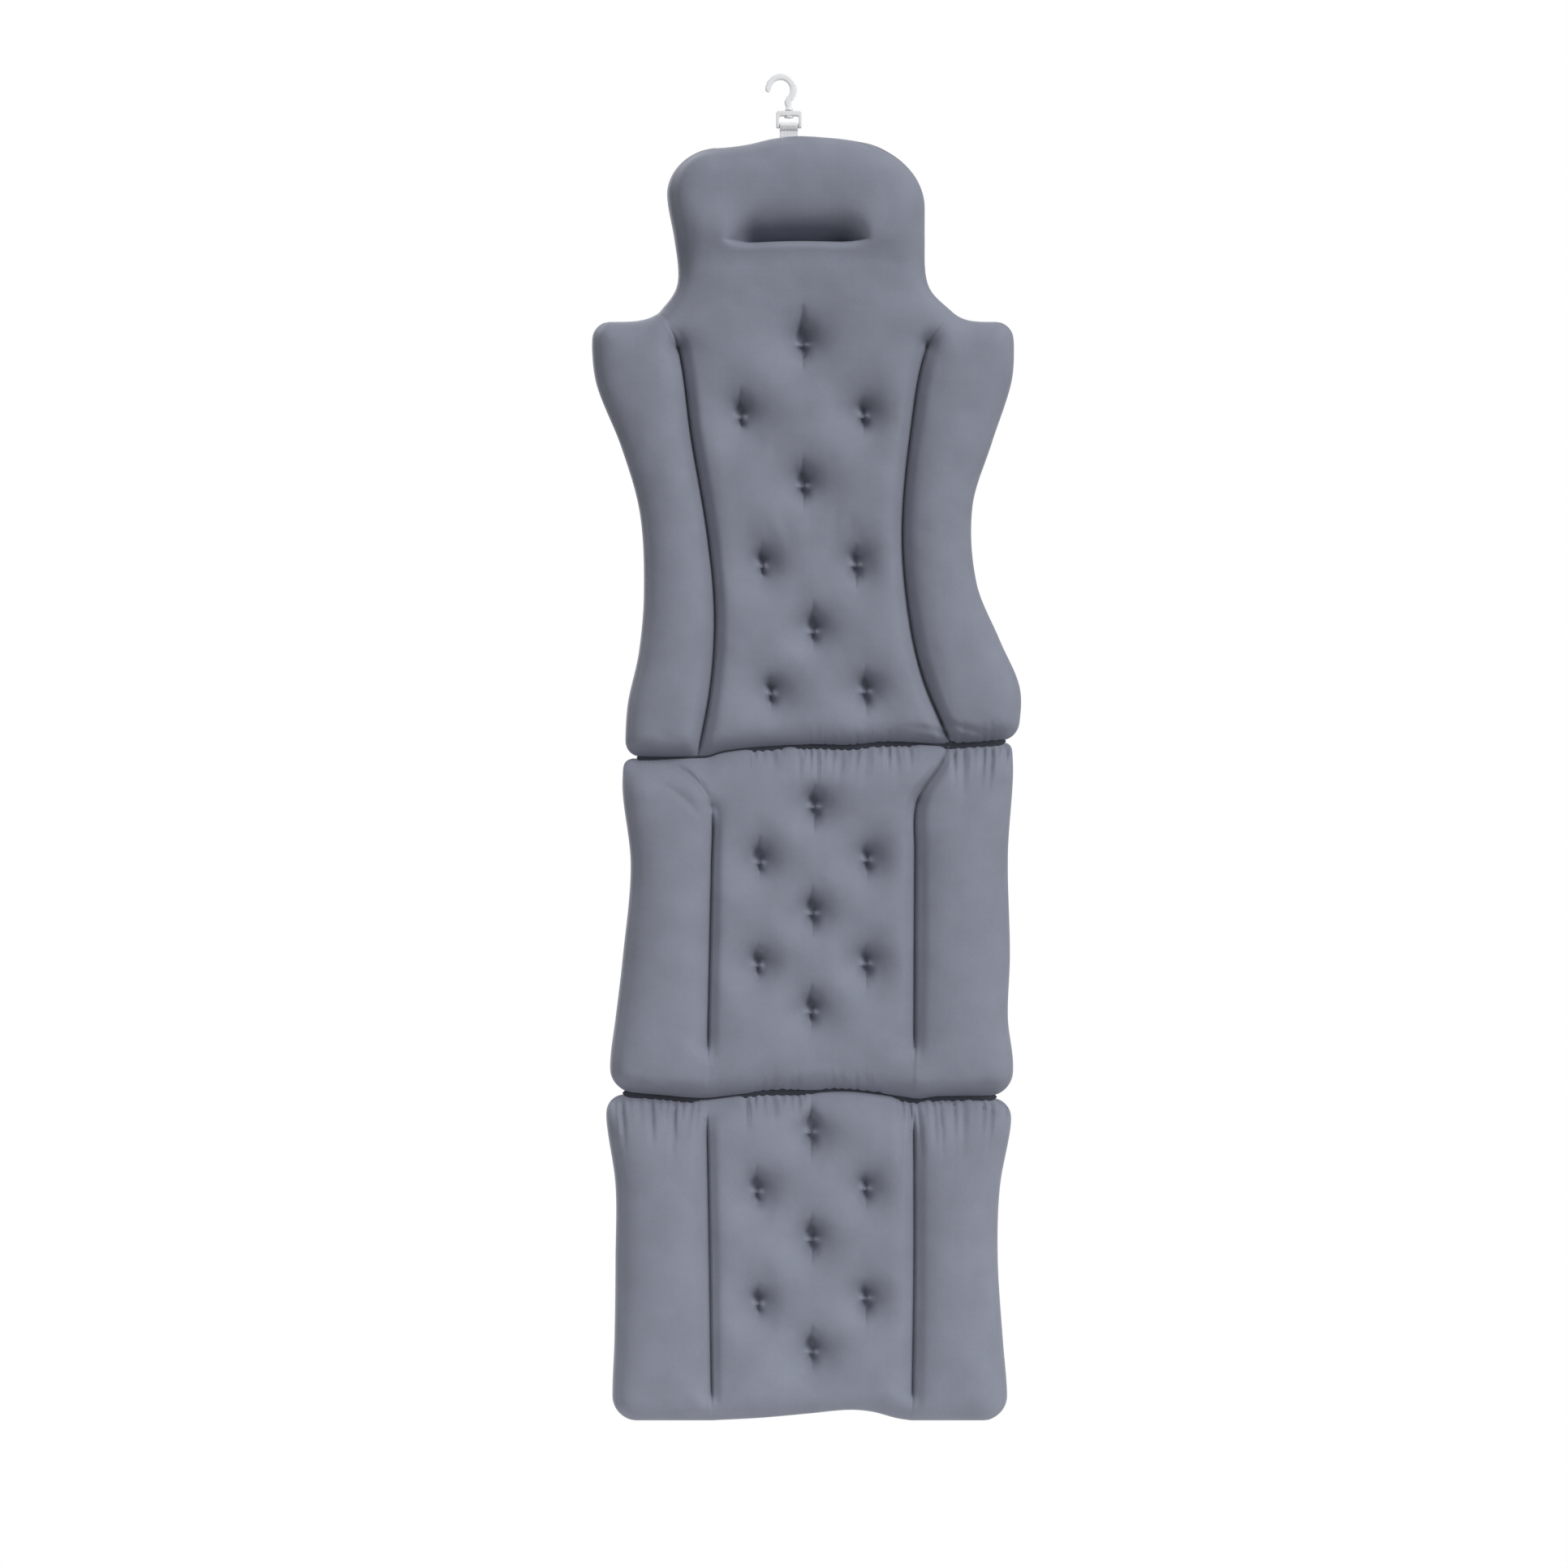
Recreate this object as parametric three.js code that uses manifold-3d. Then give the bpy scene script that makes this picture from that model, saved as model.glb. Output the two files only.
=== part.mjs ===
// A hanging bath pillow for the whole body: three padded panels sewn end to end under a swivel hook.
// Millimetres, +Z up, the padded face towards -Y. The origin is where the hook bears on its rail.

import * as THREE from 'three';
import { mergeVertices } from 'three/addons/utils/BufferGeometryUtils.js';
import Module from 'manifold-3d';

// Lengths down the pad
const HEAD_LENGTH = 161;           // head corners to the shoulders
const TORSO_LENGTH = 430;          // shoulders to the upper fold
const SEAT_LENGTH = 342;           // upper fold to the lower fold
const LEG_LENGTH = 320;            // lower fold to the hem
const FOLD_GAP = 5;                // between two panels at a fold

// Lie of the edges
const PAD_OFFSET = 30;             // pad's centre line, right of the hook's bearing point
const HEAD_BOW = 13;               // rise of the head's top edge towards the tab
const SHOULDER_DROP = 9;           // fall of a shoulder from the neck to its corner
const UPPER_FOLD_TILT = 2;         // degrees, right end higher
const HEM_TUCK = 8;                // rise of the hem between the bolsters
const HEAD_CORNER = 42;            // radius of the head's corners
const PANEL_CORNER = 16;           // radius of the other corners

// Outlines: share of the panel's length, then the reach left and right of the centre line
const HEAD_EDGE = [
  [0, 142, 111], [0.3, 142, 112], [0.55, 135, 112], [0.75, 131, 110], [0.88, 134, 119], [1, 150, 140],
];
const TORSO_CHANNEL = [
  [0, 150, 140], [0.08, 131, 114], [0.28, 118, 98], [0.5, 102, 90], [0.68, 95, 95], [0.84, 99, 109],
  [1, 112, 138],
];
const TORSO_EDGE = [
  [0, 215, 198], [0.07, 216, 200], [0.15, 211, 197], [0.29, 187, 178], [0.44, 169, 159], [0.62, 165, 163],
  [0.76, 170, 186], [0.88, 181, 206], [1, 184, 204],
];
const SEAT_CHANNEL = [[0, 118, 136], [0.06, 111, 126], [0.16, 98, 104], [0.3, 98, 102], [1, 103, 101]];
const SEAT_EDGE = [
  [0, 185, 198], [0.1, 186, 199], [0.32, 178, 194], [0.6, 186, 196], [0.78, 193, 194], [0.9, 198, 199],
  [1, 198, 198],
];
const LEG_CHANNEL = [[0, 103, 101], [0.5, 100, 101], [1, 98, 99]];
const LEG_EDGE = [
  [0, 200, 195], [0.08, 202, 197], [0.28, 193, 186], [0.5, 193, 184], [0.75, 194, 189], [0.9, 196, 193],
  [1, 196, 193],
];

// Sewn stretch of each panel's channels, and tufts: share of the length, then places across the centre
const TUFT_SPREAD = 0.53;          // of the centre's half width
const CENTRE_TUFT = [0];
const PAIR_TUFTS = [-TUFT_SPREAD, TUFT_SPREAD];
const TORSO_SEWN = [0.07, 1];
const TORSO_TUFTS = [
  [0.037, CENTRE_TUFT], [0.233, PAIR_TUFTS], [0.4, CENTRE_TUFT], [0.568, PAIR_TUFTS],
  [0.72, CENTRE_TUFT], [0.872, PAIR_TUFTS],
];
const SEAT_SEWN = [0, 0.86];
const SEAT_TUFTS = [
  [0.178, CENTRE_TUFT], [0.333, PAIR_TUFTS], [0.487, CENTRE_TUFT], [0.632, PAIR_TUFTS],
  [0.773, CENTRE_TUFT],
];
const LEG_SEWN = [0.06, 0.93];
const LEG_TUFTS = [
  [0.128, CENTRE_TUFT], [0.303, PAIR_TUFTS], [0.461, CENTRE_TUFT], [0.648, PAIR_TUFTS],
  [0.81, CENTRE_TUFT],
];

// Padding in front of the seam plane
const HEAD_CROWN = 38;
const BOLSTER_CROWN = 29;
const CENTRE_CROWN = 23;
const CHANNEL_HEIGHT = 7;          // left standing in a sewn channel
const CHANNEL_REACH = 22;          // from a channel to full height
const SEWN_FADE = 0.05;            // share of the length in which a channel ends
const EDGE_ROUND = 30;             // from a free edge to full height
const HEAD_ROUND = 36;
const FOLD_RISE = 56;              // from a fold to full height
const TUFT_DEPTH = 14;
const TUFT_REACH = 17;
const SLOT_DROP = 82;              // head corners to the stitched slot
const SLOT_LENGTH = 116;
const SLOT_DIP = 20;
const SLOT_REACH = 9;
const NECK_REACH = 60;             // from the slot to the height of the back

// Padding behind the seam plane
const REAR_DEPTH = 14;
const REAR_CHANNEL = 9;
const REAR_CHANNEL_REACH = 10;
const REAR_BEVEL = 20;
const REAR_FOLD_RISE = 38;

// Cloth, fill and clearances
const CLOTH = 1.5;
const SEAM_GAP = 0.3;              // between the two covers along their seam
const FILL_GAP = 0.4;
const SEAT_GAP = 0.3;              // between pieces that touch
const CUT_MARGIN = 1;              // by which a cut runs past its piece
const STRIP_ARC_STEPS = 4;

// Mesh of the padding
const CENTRE_COLUMNS = [-1, -0.86, -TUFT_SPREAD, -0.27, 0, 0.27, TUFT_SPREAD, 0.86, 1];
const BOLSTER_COLUMNS = 4;         // from an outer edge to just short of the channel
const EDGE_RING = 6;               // first column in from an outer edge
const CROWN_SHARE = 0.42;          // middle column of a bolster
const CHANNEL_RING = 11;           // first column out from a channel
const FREE_ROWS = [0, 7, 22];
const SHOULDER_ROWS = [0, 7];
const FOLD_ROWS = [0, 8, 28];
const HEAD_ROWS = [0, 5, 16, 36, 56];
const SLOT_MARGIN = 8;             // rows just above and below the slot
const NECK_ROWS = [0, 16, 36, 54]; // up from the shoulders
const ROW_STEP = 30;

// Hanger
const STEM_OFFSET = 8;             // stem, buckle and tab, right of the bearing point
const HOOK_INNER_RADIUS = 9;
const HOOK_BAND = 7;
const HOOK_TIP_BAND = 5.5;
const HOOK_THICKNESS = 4;
const HOOK_BEVEL = 0.8;
const HOOK_START = 192;            // degrees, the open tip
const HOOK_END = -42;              // degrees, where the bow turns into the stem
const HOOK_STEPS = 16;
const HOOK_NECK = 13;              // from the end of the bow down to the buckle
const STEM_RADIUS = 2.5;
const STEM_SIDES = 16;
const STEM_CLEARANCE = 0.4;
const COLLAR_RADIUS = 4.2;
const COLLAR_HEIGHT = 2;
const FLANGE_RADIUS = 4.5;
const FLANGE_HEIGHT = 1.6;
const BUCKLE_HEIGHT = 16.8;
const BUCKLE_DEPTH = 7;
const BUCKLE_WALL = 3;
const BUCKLE_HEAD_HEIGHT = 5;      // wall that the stem turns in
const BUCKLE_CORNER = 2.5;
const BUCKLE_BEVEL = 0.6;
const BUCKLE_ARC_STEPS = 3;
const BAR_RADIUS = 2.2;
const BAR_SIDES = 12;
const WEB_WIDTH = 18;
const WEB_THICKNESS = 1.2;
const WEB_CLEARANCE = 0.4;
const TAB_LENGTH = 10;             // from the bar's centre to the head's top edge
const TAB_SEWN = 16;               // held in the head's seam
const WEB_SIDE_GAP = 0.6;

// Suction cups
const CUP_RADIUS = 20;
const CUP_HEIGHT = 11;
const CUP_LIP = 2;
const CUP_EDGE = 1.2;
const CUP_HOLLOW = 3.5;
const CUP_SHOULDER = 8;
const CUP_NECK = 3;
const CUP_BUTTON = 6;
const CUP_BUTTON_HEIGHT = 1.6;
const CUP_SIDES = 12;
const CUP_ACROSS = 0.63;           // of a bolster's width, in from its outer edge
const HEAD_CUP_DROP = 48;
const HEAD_CUP_SPREAD = 75;
const TORSO_CUPS = [0.2, 0.6];
const SEAT_CUPS = [0.26, 0.74];
const LEG_CUPS = [0.28, 0.72];

// Levels worked out from the lengths
const HOOK_RADIUS = HOOK_INNER_RADIUS + HOOK_BAND / 2;
const BOW_END = HOOK_RADIUS * Math.sin(THREE.MathUtils.degToRad(HOOK_END)) - HOOK_INNER_RADIUS;
const BUCKLE_TOP = BOW_END - HOOK_NECK;
const BUCKLE_BOTTOM = BUCKLE_TOP - BUCKLE_HEIGHT;
const BAR_LEVEL = BUCKLE_BOTTOM + BAR_RADIUS;
const HEAD_TOP = BAR_LEVEL - TAB_LENGTH - HEAD_BOW;
const SHOULDER = HEAD_TOP - HEAD_LENGTH;
const UPPER_FOLD = SHOULDER - TORSO_LENGTH;
const LOWER_FOLD = UPPER_FOLD - SEAT_LENGTH;
const HEM = LOWER_FOLD - LEG_LENGTH;
const UPPER_SLOPE = Math.tan(THREE.MathUtils.degToRad(UPPER_FOLD_TILT));

// Finishes
const SLATE = new THREE.MeshStandardMaterial({ color: 0x7f838f, roughness: 0.85, metalness: 0 });
const SLATE_REAR = new THREE.MeshStandardMaterial({ color: 0x747884, roughness: 0.9, metalness: 0 });
const FIBRE = new THREE.MeshStandardMaterial({ color: 0xf1f1ee, roughness: 1, metalness: 0 });
const CLEAR = new THREE.MeshStandardMaterial({ color: 0xf3f4f5, roughness: 0.2, metalness: 0 });
const PALE = new THREE.MeshStandardMaterial({ color: 0xdadad8, roughness: 0.35, metalness: 0 });
const WEB = new THREE.MeshStandardMaterial({ color: 0xd0d2d4, roughness: 0.8, metalness: 0 });
const VINYL = new THREE.MeshStandardMaterial({ color: 0xdfe6ea, roughness: 0.15, metalness: 0 });

const wasm = await Module();
wasm.setup();

const { clamp, lerp, smoothstep } = THREE.MathUtils;

// Solids for cutting and joining
function toSolid(geometry) {
  const bare = new THREE.BufferGeometry();
  bare.setAttribute('position', geometry.getAttribute('position').clone());
  if (geometry.index) bare.setIndex(geometry.index.clone());
  const merged = mergeVertices(bare, 1e-4);
  return new wasm.Manifold(new wasm.Mesh({
    numProp: 3,
    vertProperties: new Float32Array(merged.getAttribute('position').array),
    triVerts: new Uint32Array(merged.index.array),
  }));
}

function toGeometry(solid) {
  const mesh = solid.getMesh();
  const geometry = new THREE.BufferGeometry();
  geometry.setAttribute('position', new THREE.BufferAttribute(mesh.vertProperties, 3));
  geometry.setIndex(new THREE.BufferAttribute(mesh.triVerts, 1));
  geometry.computeVertexNormals();
  return geometry;
}

function cut(geometry, tools) {
  const body = tools.reduce((solid, tool) => solid.subtract(toSolid(tool)), toSolid(geometry));
  return toGeometry(body);
}

function join(geometries) {
  const [first, ...rest] = geometries.map(toSolid);
  return toGeometry(rest.reduce((solid, other) => solid.add(other), first));
}

function piece(name, geometry, material) {
  const mesh = new THREE.Mesh(geometry, material);
  mesh.name = name;
  return mesh;
}

// Outline helpers
function reach(stations, share, side) {
  const last = stations.length - 1;
  const found = stations.findIndex((station) => station[0] >= share);
  const end = clamp(found, 1, last);
  const slope = (i) => {
    const before = stations[Math.max(0, i - 1)];
    const after = stations[Math.min(last, i + 1)];
    return (after[side] - before[side]) / (after[0] - before[0]);
  };
  const [from, to] = [stations[end - 1], stations[end]];
  const span = to[0] - from[0];
  const t = (share - from[0]) / span;
  const bend = t * t * (3 - 2 * t);
  const leave = t * (1 - t) * (1 - t) * span * slope(end - 1);
  const arrive = t * t * (1 - t) * span * slope(end);
  return lerp(from[side], to[side], bend) + leave - arrive;
}

function cornerInset(distance, radius) {
  const short = radius - clamp(distance, 0, radius);
  return radius - Math.sqrt(radius * radius - short * short);
}

function roundRise(distance, width) {
  const short = 1 - clamp(distance / width, 0, 1);
  return Math.sqrt(1 - short * short);
}

function foldRise(distance, width) {
  return Math.sin((Math.PI / 2) * clamp(distance / width, 0, 1));
}

// Panels below the neck
const TORSO = {
  length: TORSO_LENGTH, edge: TORSO_EDGE, channel: TORSO_CHANNEL, sewn: TORSO_SEWN, tufts: TORSO_TUFTS,
  topRows: SHOULDER_ROWS, bottomRows: FOLD_ROWS, topFold: false, bottomFold: true, neck: true,
  top: (outward) => SHOULDER - SHOULDER_DROP * outward,
  bottom: (outward, x) => UPPER_FOLD + UPPER_SLOPE * x + FOLD_GAP / 2,
};
const SEAT = {
  length: SEAT_LENGTH, edge: SEAT_EDGE, channel: SEAT_CHANNEL, sewn: SEAT_SEWN, tufts: SEAT_TUFTS,
  topRows: FOLD_ROWS, bottomRows: FOLD_ROWS, topFold: true, bottomFold: true, neck: false,
  top: (outward, x) => UPPER_FOLD + UPPER_SLOPE * x - FOLD_GAP / 2,
  bottom: () => LOWER_FOLD + FOLD_GAP / 2,
};
const LEGS = {
  length: LEG_LENGTH, edge: LEG_EDGE, channel: LEG_CHANNEL, sewn: LEG_SEWN, tufts: LEG_TUFTS,
  topRows: FOLD_ROWS, bottomRows: FREE_ROWS, topFold: true, bottomFold: false, neck: false,
  top: () => LOWER_FOLD - FOLD_GAP / 2,
  bottom: (outward) => HEM + (outward > 0 ? 0 : HEM_TUCK * Math.sin(outward * Math.PI / 2) ** 2),
};

// Shares of a panel's length at which its rows of points lie
function rowShares(panel) {
  const fixed = [
    ...panel.topRows.map((distance) => distance / panel.length),
    ...panel.tufts.map(([share]) => share),
    ...panel.bottomRows.map((distance) => 1 - distance / panel.length),
  ].sort((a, b) => a - b);
  return fixed.flatMap((share, i) => {
    const gap = i + 1 < fixed.length ? fixed[i + 1] - share : 0;
    const steps = Math.max(1, Math.round((gap * panel.length) / ROW_STEP));
    return Array.from({ length: steps }, (_, k) => share + (gap * k) / steps);
  });
}

// Places across a panel in one row; outward is -1 to 0 in the centre and 0 to 1 in a bolster
function panelRow(panel, share) {
  const fromTop = share * panel.length;
  const fromBottom = panel.length - fromTop;
  const inset = cornerInset(Math.min(fromTop, fromBottom), PANEL_CORNER);
  const edges = [1, 2].map((side) => reach(panel.edge, share, side) - inset);
  const channels = [1, 2].map((side) => reach(panel.channel, share, side));
  const place = (x, outward, edge, channel) => {
    const z = lerp(panel.top(outward, x), panel.bottom(outward, x), share);
    return { x, z, share, edge, channel, fromTop, fromBottom, bolster: outward > 0, line: outward === 0 };
  };
  const bolster = (side, sign) => {
    const width = edges[side] - channels[side];
    const depths = [0, EDGE_RING, CROWN_SHARE * width, width - CHANNEL_RING];
    return depths.map((depth) => {
      const outward = (width - depth) / width;
      return place(sign * (edges[side] - depth), outward, depth, width - depth);
    });
  };
  const middle = (channels[1] - channels[0]) / 2;
  const half = (channels[0] + channels[1]) / 2;
  const centre = CENTRE_COLUMNS.map((a) => {
    const outward = Math.abs(a) === 1 ? 0 : Math.abs(a) - 1;
    const edge = (edges[0] + edges[1]) / 2;
    return place(middle + a * half, outward, edge, half * (1 - Math.abs(a)));
  });
  return [...bolster(0, -1), ...centre, ...bolster(1, 1).reverse()];
}

function sewnShare(panel, share) {
  const [from, to] = panel.sewn;
  const begun = from === 0 ? 1 : smoothstep(share, from - SEWN_FADE, from + SEWN_FADE);
  const ended = to === 1 ? 0 : smoothstep(share, to - SEWN_FADE, to + SEWN_FADE);
  return begun * (1 - ended);
}

// Share of full height left by a panel's top and bottom ends
function endShare(panel, place, freeWidth, foldWidth) {
  const necked = panel.neck && !place.bolster && !place.line;
  const free = necked ? 1 : roundRise(place.fromTop, freeWidth);
  const top = panel.topFold ? foldRise(place.fromTop, foldWidth) : free;
  const bottom = panel.bottomFold
    ? foldRise(place.fromBottom, foldWidth)
    : roundRise(place.fromBottom, freeWidth);
  return top * bottom;
}

function tuftDip(panel, place) {
  return panel.tufts.reduce((sum, [share, columns]) => {
    const reaches = [1, 2].map((side) => reach(panel.channel, share, side));
    const middle = (reaches[1] - reaches[0]) / 2;
    const half = (reaches[0] + reaches[1]) / 2;
    const down = (place.share - share) * panel.length;
    return columns.reduce((dip, column) => {
      const across = place.x - middle - column * half;
      return dip + TUFT_DEPTH * Math.exp(-(across * across + down * down) / TUFT_REACH ** 2);
    }, sum);
  }, 0);
}

function faceHeight(panel, place) {
  const shared = (BOLSTER_CROWN + CENTRE_CROWN) / 2;
  const rise = smoothstep(place.channel, 0, CHANNEL_REACH);
  const crown = lerp(shared, place.bolster ? BOLSTER_CROWN : CENTRE_CROWN, rise);
  const sewn = sewnShare(panel, place.share) * (1 - rise);
  const level = lerp(crown, CHANNEL_HEIGHT, sewn) * endShare(panel, place, EDGE_ROUND, FOLD_RISE);
  const edge = place.bolster ? roundRise(place.edge, EDGE_ROUND) : 1;
  return level * edge - (place.bolster ? 0 : tuftDip(panel, place));
}

function rearHeight(panel, place) {
  const rise = smoothstep(place.channel, 0, REAR_CHANNEL_REACH);
  const sewn = sewnShare(panel, place.share) * (1 - rise);
  const level = lerp(REAR_DEPTH, REAR_CHANNEL, sewn) * endShare(panel, place, REAR_BEVEL, REAR_FOLD_RISE);
  return level * (place.bolster ? roundRise(place.edge, REAR_BEVEL) : 1);
}

// Head and neck
function headRows() {
  return [
    ...HEAD_ROWS, SLOT_DROP - SLOT_MARGIN, SLOT_DROP, SLOT_DROP + SLOT_MARGIN,
    ...NECK_ROWS.map((up) => HEAD_LENGTH - up).reverse(),
  ];
}

function headRow(fromTop) {
  const share = fromTop / HEAD_LENGTH;
  const inset = cornerInset(fromTop, HEAD_CORNER);
  const [left, right] = [1, 2].map((side) => reach(HEAD_EDGE, share, side) - inset);
  const middle = (right - left) / 2;
  const half = (left + right) / 2;
  return CENTRE_COLUMNS.map((a) => {
    const bow = HEAD_BOW * (1 - a * a) * (1 - share) ** 2;
    return { x: middle + a * half, z: HEAD_TOP - fromTop + bow, fromTop, edge: half * (1 - Math.abs(a)) };
  });
}

function headFaceHeight(place) {
  const below = smoothstep(place.fromTop, SLOT_DROP, SLOT_DROP + NECK_REACH);
  const crown = lerp(HEAD_CROWN, CENTRE_CROWN, below);
  const middle = (HEAD_EDGE[1][2] - HEAD_EDGE[1][1]) / 2;
  const past = Math.max(0, Math.abs(place.x - middle) - SLOT_LENGTH / 2) / SLOT_REACH;
  const down = (place.fromTop - SLOT_DROP) / SLOT_REACH;
  const dip = SLOT_DIP * Math.exp(-down * down - past * past);
  return crown * roundRise(place.edge, HEAD_ROUND) * roundRise(place.fromTop, HEAD_ROUND) - dip;
}

function headRearHeight(place) {
  return REAR_DEPTH * roundRise(place.edge, REAR_BEVEL) * roundRise(place.fromTop, REAR_BEVEL);
}

// A net of points with a height in front or behind, and its four-sided cells
function newNet() {
  return { points: [], found: new Map(), cells: [] };
}

function netPoint(net, place, height) {
  const key = `${place.x.toFixed(3)} ${place.z.toFixed(3)}`;
  if (!net.found.has(key)) {
    net.found.set(key, net.points.length);
    net.points.push({ x: place.x, z: place.z, height: Math.max(0, height) });
  }
  return net.found.get(key);
}

// Cells between rows of points, each turned so that it splits along its more level diagonal
function cellsBetween(net, rows) {
  const step = (i, j) => Math.abs(net.points[i].height - net.points[j].height);
  return rows.slice(1).flatMap((lower, r) => lower.slice(1).map((corner, c) => {
    const [a, b, d] = [rows[r][c], rows[r][c + 1], lower[c]];
    return step(a, corner) <= step(b, d) ? [a, b, corner, d] : [b, corner, d, a];
  }));
}

function part(rows, firstRow, lastRow, firstColumn, lastColumn) {
  return rows.slice(firstRow, lastRow + 1).map((row) => row.slice(firstColumn, lastColumn + 1));
}

function panelPlaces(panel) {
  return rowShares(panel).map((share) => panelRow(panel, share));
}

function netRows(net, places, height) {
  return places.map((row) => row.map((place) => netPoint(net, place, height(place))));
}

// Triangles of a net, the directed edges that only one of them uses, and its normals
function split(cells) {
  return cells.flatMap(([a, b, c, d]) => [[a, b, c], [a, c, d]]);
}

function rimEdges(triangles) {
  const edges = new Map();
  triangles.forEach(([a, b, c]) => {
    [[a, b], [b, c], [c, a]].forEach(([from, to]) => {
      const back = `${to} ${from}`;
      if (edges.has(back)) edges.delete(back);
      else edges.set(`${from} ${to}`, [from, to]);
    });
  });
  return [...edges.values()];
}

function netNormals(vertices, triangles, sign) {
  const normals = vertices.map(() => new THREE.Vector3());
  triangles.forEach(([a, b, c]) => {
    const along = vertices[b].clone().sub(vertices[a]);
    const face = vertices[c].clone().sub(vertices[a]).cross(along);
    if (face.y * sign < 0) face.negate();
    [a, b, c].forEach((i) => normals[i].add(face));
  });
  const rim = rimEdges(triangles);
  rim.flat().forEach((i) => normals[i].set(0, 0, 0));
  rim.forEach(([from, to]) => {
    const along = vertices[to].clone().sub(vertices[from]);
    const out = new THREE.Vector3(along.z, 0, -along.x).normalize();
    [from, to].forEach((i) => normals[i].sub(out));
  });
  return normals.map((normal) => normal.normalize());
}

// Closed geometry from two matching skins and the wall between their rims
function closeSkins(outer, inner, triangles) {
  const count = outer.length;
  const flipped = triangles.map(([a, b, c]) => [c + count, b + count, a + count]);
  const wall = rimEdges(triangles).flatMap(([a, b]) => [[b, a, a + count], [b, a + count, b + count]]);
  const geometry = new THREE.BufferGeometry();
  const positions = [...outer, ...inner].flatMap((vertex) => vertex.toArray());
  geometry.setAttribute('position', new THREE.Float32BufferAttribute(positions, 3));
  geometry.setIndex(outwards([...triangles, ...flipped, ...wall], [...outer, ...inner]).flat());
  geometry.computeVertexNormals();
  return geometry;
}

function outwards(triangles, vertices) {
  const volume = triangles.reduce((sum, [a, b, c]) => {
    return sum + vertices[a].dot(vertices[b].clone().cross(vertices[c]));
  }, 0);
  return volume > 0 ? triangles : triangles.map(([a, b, c]) => [c, b, a]);
}

// Skin of a net at its outer face, or sunk below that by a depth; sign is -1 in front and 1 behind
function skin(net, sign, depth) {
  const outer = net.points.map((p) => new THREE.Vector3(p.x, sign * (SEAM_GAP / 2 + p.height), p.z));
  if (depth === 0) return outer;
  const normals = netNormals(outer, split(net.cells), sign);
  return outer.map((vertex, i) => vertex.addScaledVector(normals[i], -depth));
}

function cover(net, sign) {
  return closeSkins(skin(net, sign, 0), skin(net, sign, CLOTH), split(net.cells));
}

// Fill between the two covers, on some of the cells of matching front and rear nets
function fill(front, rear, rows) {
  const cells = cellsBetween(front, rows);
  const used = [...new Set(cells.flat())];
  const renumber = new Map(used.map((index, i) => [index, i]));
  const triangles = split(cells).map((triangle) => triangle.map((i) => renumber.get(i)));
  const depth = CLOTH + FILL_GAP;
  const ahead = skin(front, -1, depth);
  const behind = skin(rear, 1, depth);
  return closeSkins(used.map((i) => ahead[i]), used.map((i) => behind[i]), triangles);
}

// Suction cups, turned about the line that they push along
function cupProfile() {
  const base = SEAT_GAP;
  const button = -CLOTH - SEAT_GAP;
  return [
    [0, button - CUP_BUTTON_HEIGHT], [CUP_BUTTON, button - CUP_BUTTON_HEIGHT], [CUP_BUTTON, button],
    [CUP_NECK, button], [CUP_NECK, base], [CUP_SHOULDER, base], [CUP_RADIUS, CUP_HEIGHT - CUP_EDGE],
    [CUP_RADIUS, CUP_HEIGHT], [CUP_RADIUS - CUP_LIP, CUP_HEIGHT], [0, CUP_HEIGHT - CUP_HOLLOW],
  ].map(([radius, height]) => new THREE.Vector2(radius, height));
}

function suctionCup(name, spot) {
  const cup = piece(name, new THREE.LatheGeometry(cupProfile(), CUP_SIDES), VINYL);
  cup.position.set(spot.x, SEAM_GAP / 2 + REAR_DEPTH, spot.z);
  return cup;
}

function drill(spot, radius, from, to) {
  const drillLength = to - from;
  const tool = new THREE.CylinderGeometry(radius, radius, drillLength, CUP_SIDES);
  return tool.translate(spot.x, SEAM_GAP / 2 + REAR_DEPTH + from + drillLength / 2, spot.z);
}

function neckHole(spot) {
  return drill(spot, CUP_NECK + SEAT_GAP, -CLOTH - CUT_MARGIN, CUT_MARGIN);
}

function buttonPocket(spot) {
  const depth = CLOTH + CUP_BUTTON_HEIGHT + 2 * SEAT_GAP;
  return drill(spot, CUP_BUTTON + SEAT_GAP, -depth, CUT_MARGIN);
}

function bolsterSpots(panel, shares, sign) {
  const side = sign < 0 ? 1 : 2;
  return shares.map((share) => {
    const edge = reach(panel.edge, share, side);
    const channel = reach(panel.channel, share, side);
    const x = sign * lerp(edge, channel, CUP_ACROSS);
    const outward = 1 - CUP_ACROSS;
    return { x, z: lerp(panel.top(outward, x), panel.bottom(outward, x), share) };
  });
}

function headSpots() {
  const middle = (HEAD_EDGE[1][2] - HEAD_EDGE[1][1]) / 2;
  return [-1, 1].map((sign) => ({ x: middle + sign * HEAD_CUP_SPREAD, z: HEAD_TOP - HEAD_CUP_DROP }));
}

// One panel below the neck: covers, three fills and the cups in its bolsters
const LAST_COLUMN = CENTRE_COLUMNS.length + 2 * BOLSTER_COLUMNS - 1;
const LEFT_SPAN = [1, BOLSTER_COLUMNS - 1];
const CENTRE_SPAN = [BOLSTER_COLUMNS + 1, LAST_COLUMN - BOLSTER_COLUMNS - 1];
const RIGHT_SPAN = [LAST_COLUMN - BOLSTER_COLUMNS + 1, LAST_COLUMN - 1];

function panelNets(panel) {
  const places = panelPlaces(panel);
  const front = newNet();
  const rear = newNet();
  const rows = netRows(front, places, (place) => faceHeight(panel, place));
  netRows(rear, places, (place) => rearHeight(panel, place));
  front.cells = cellsBetween(front, rows);
  rear.cells = front.cells;
  return { front, rear, rows };
}

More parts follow.
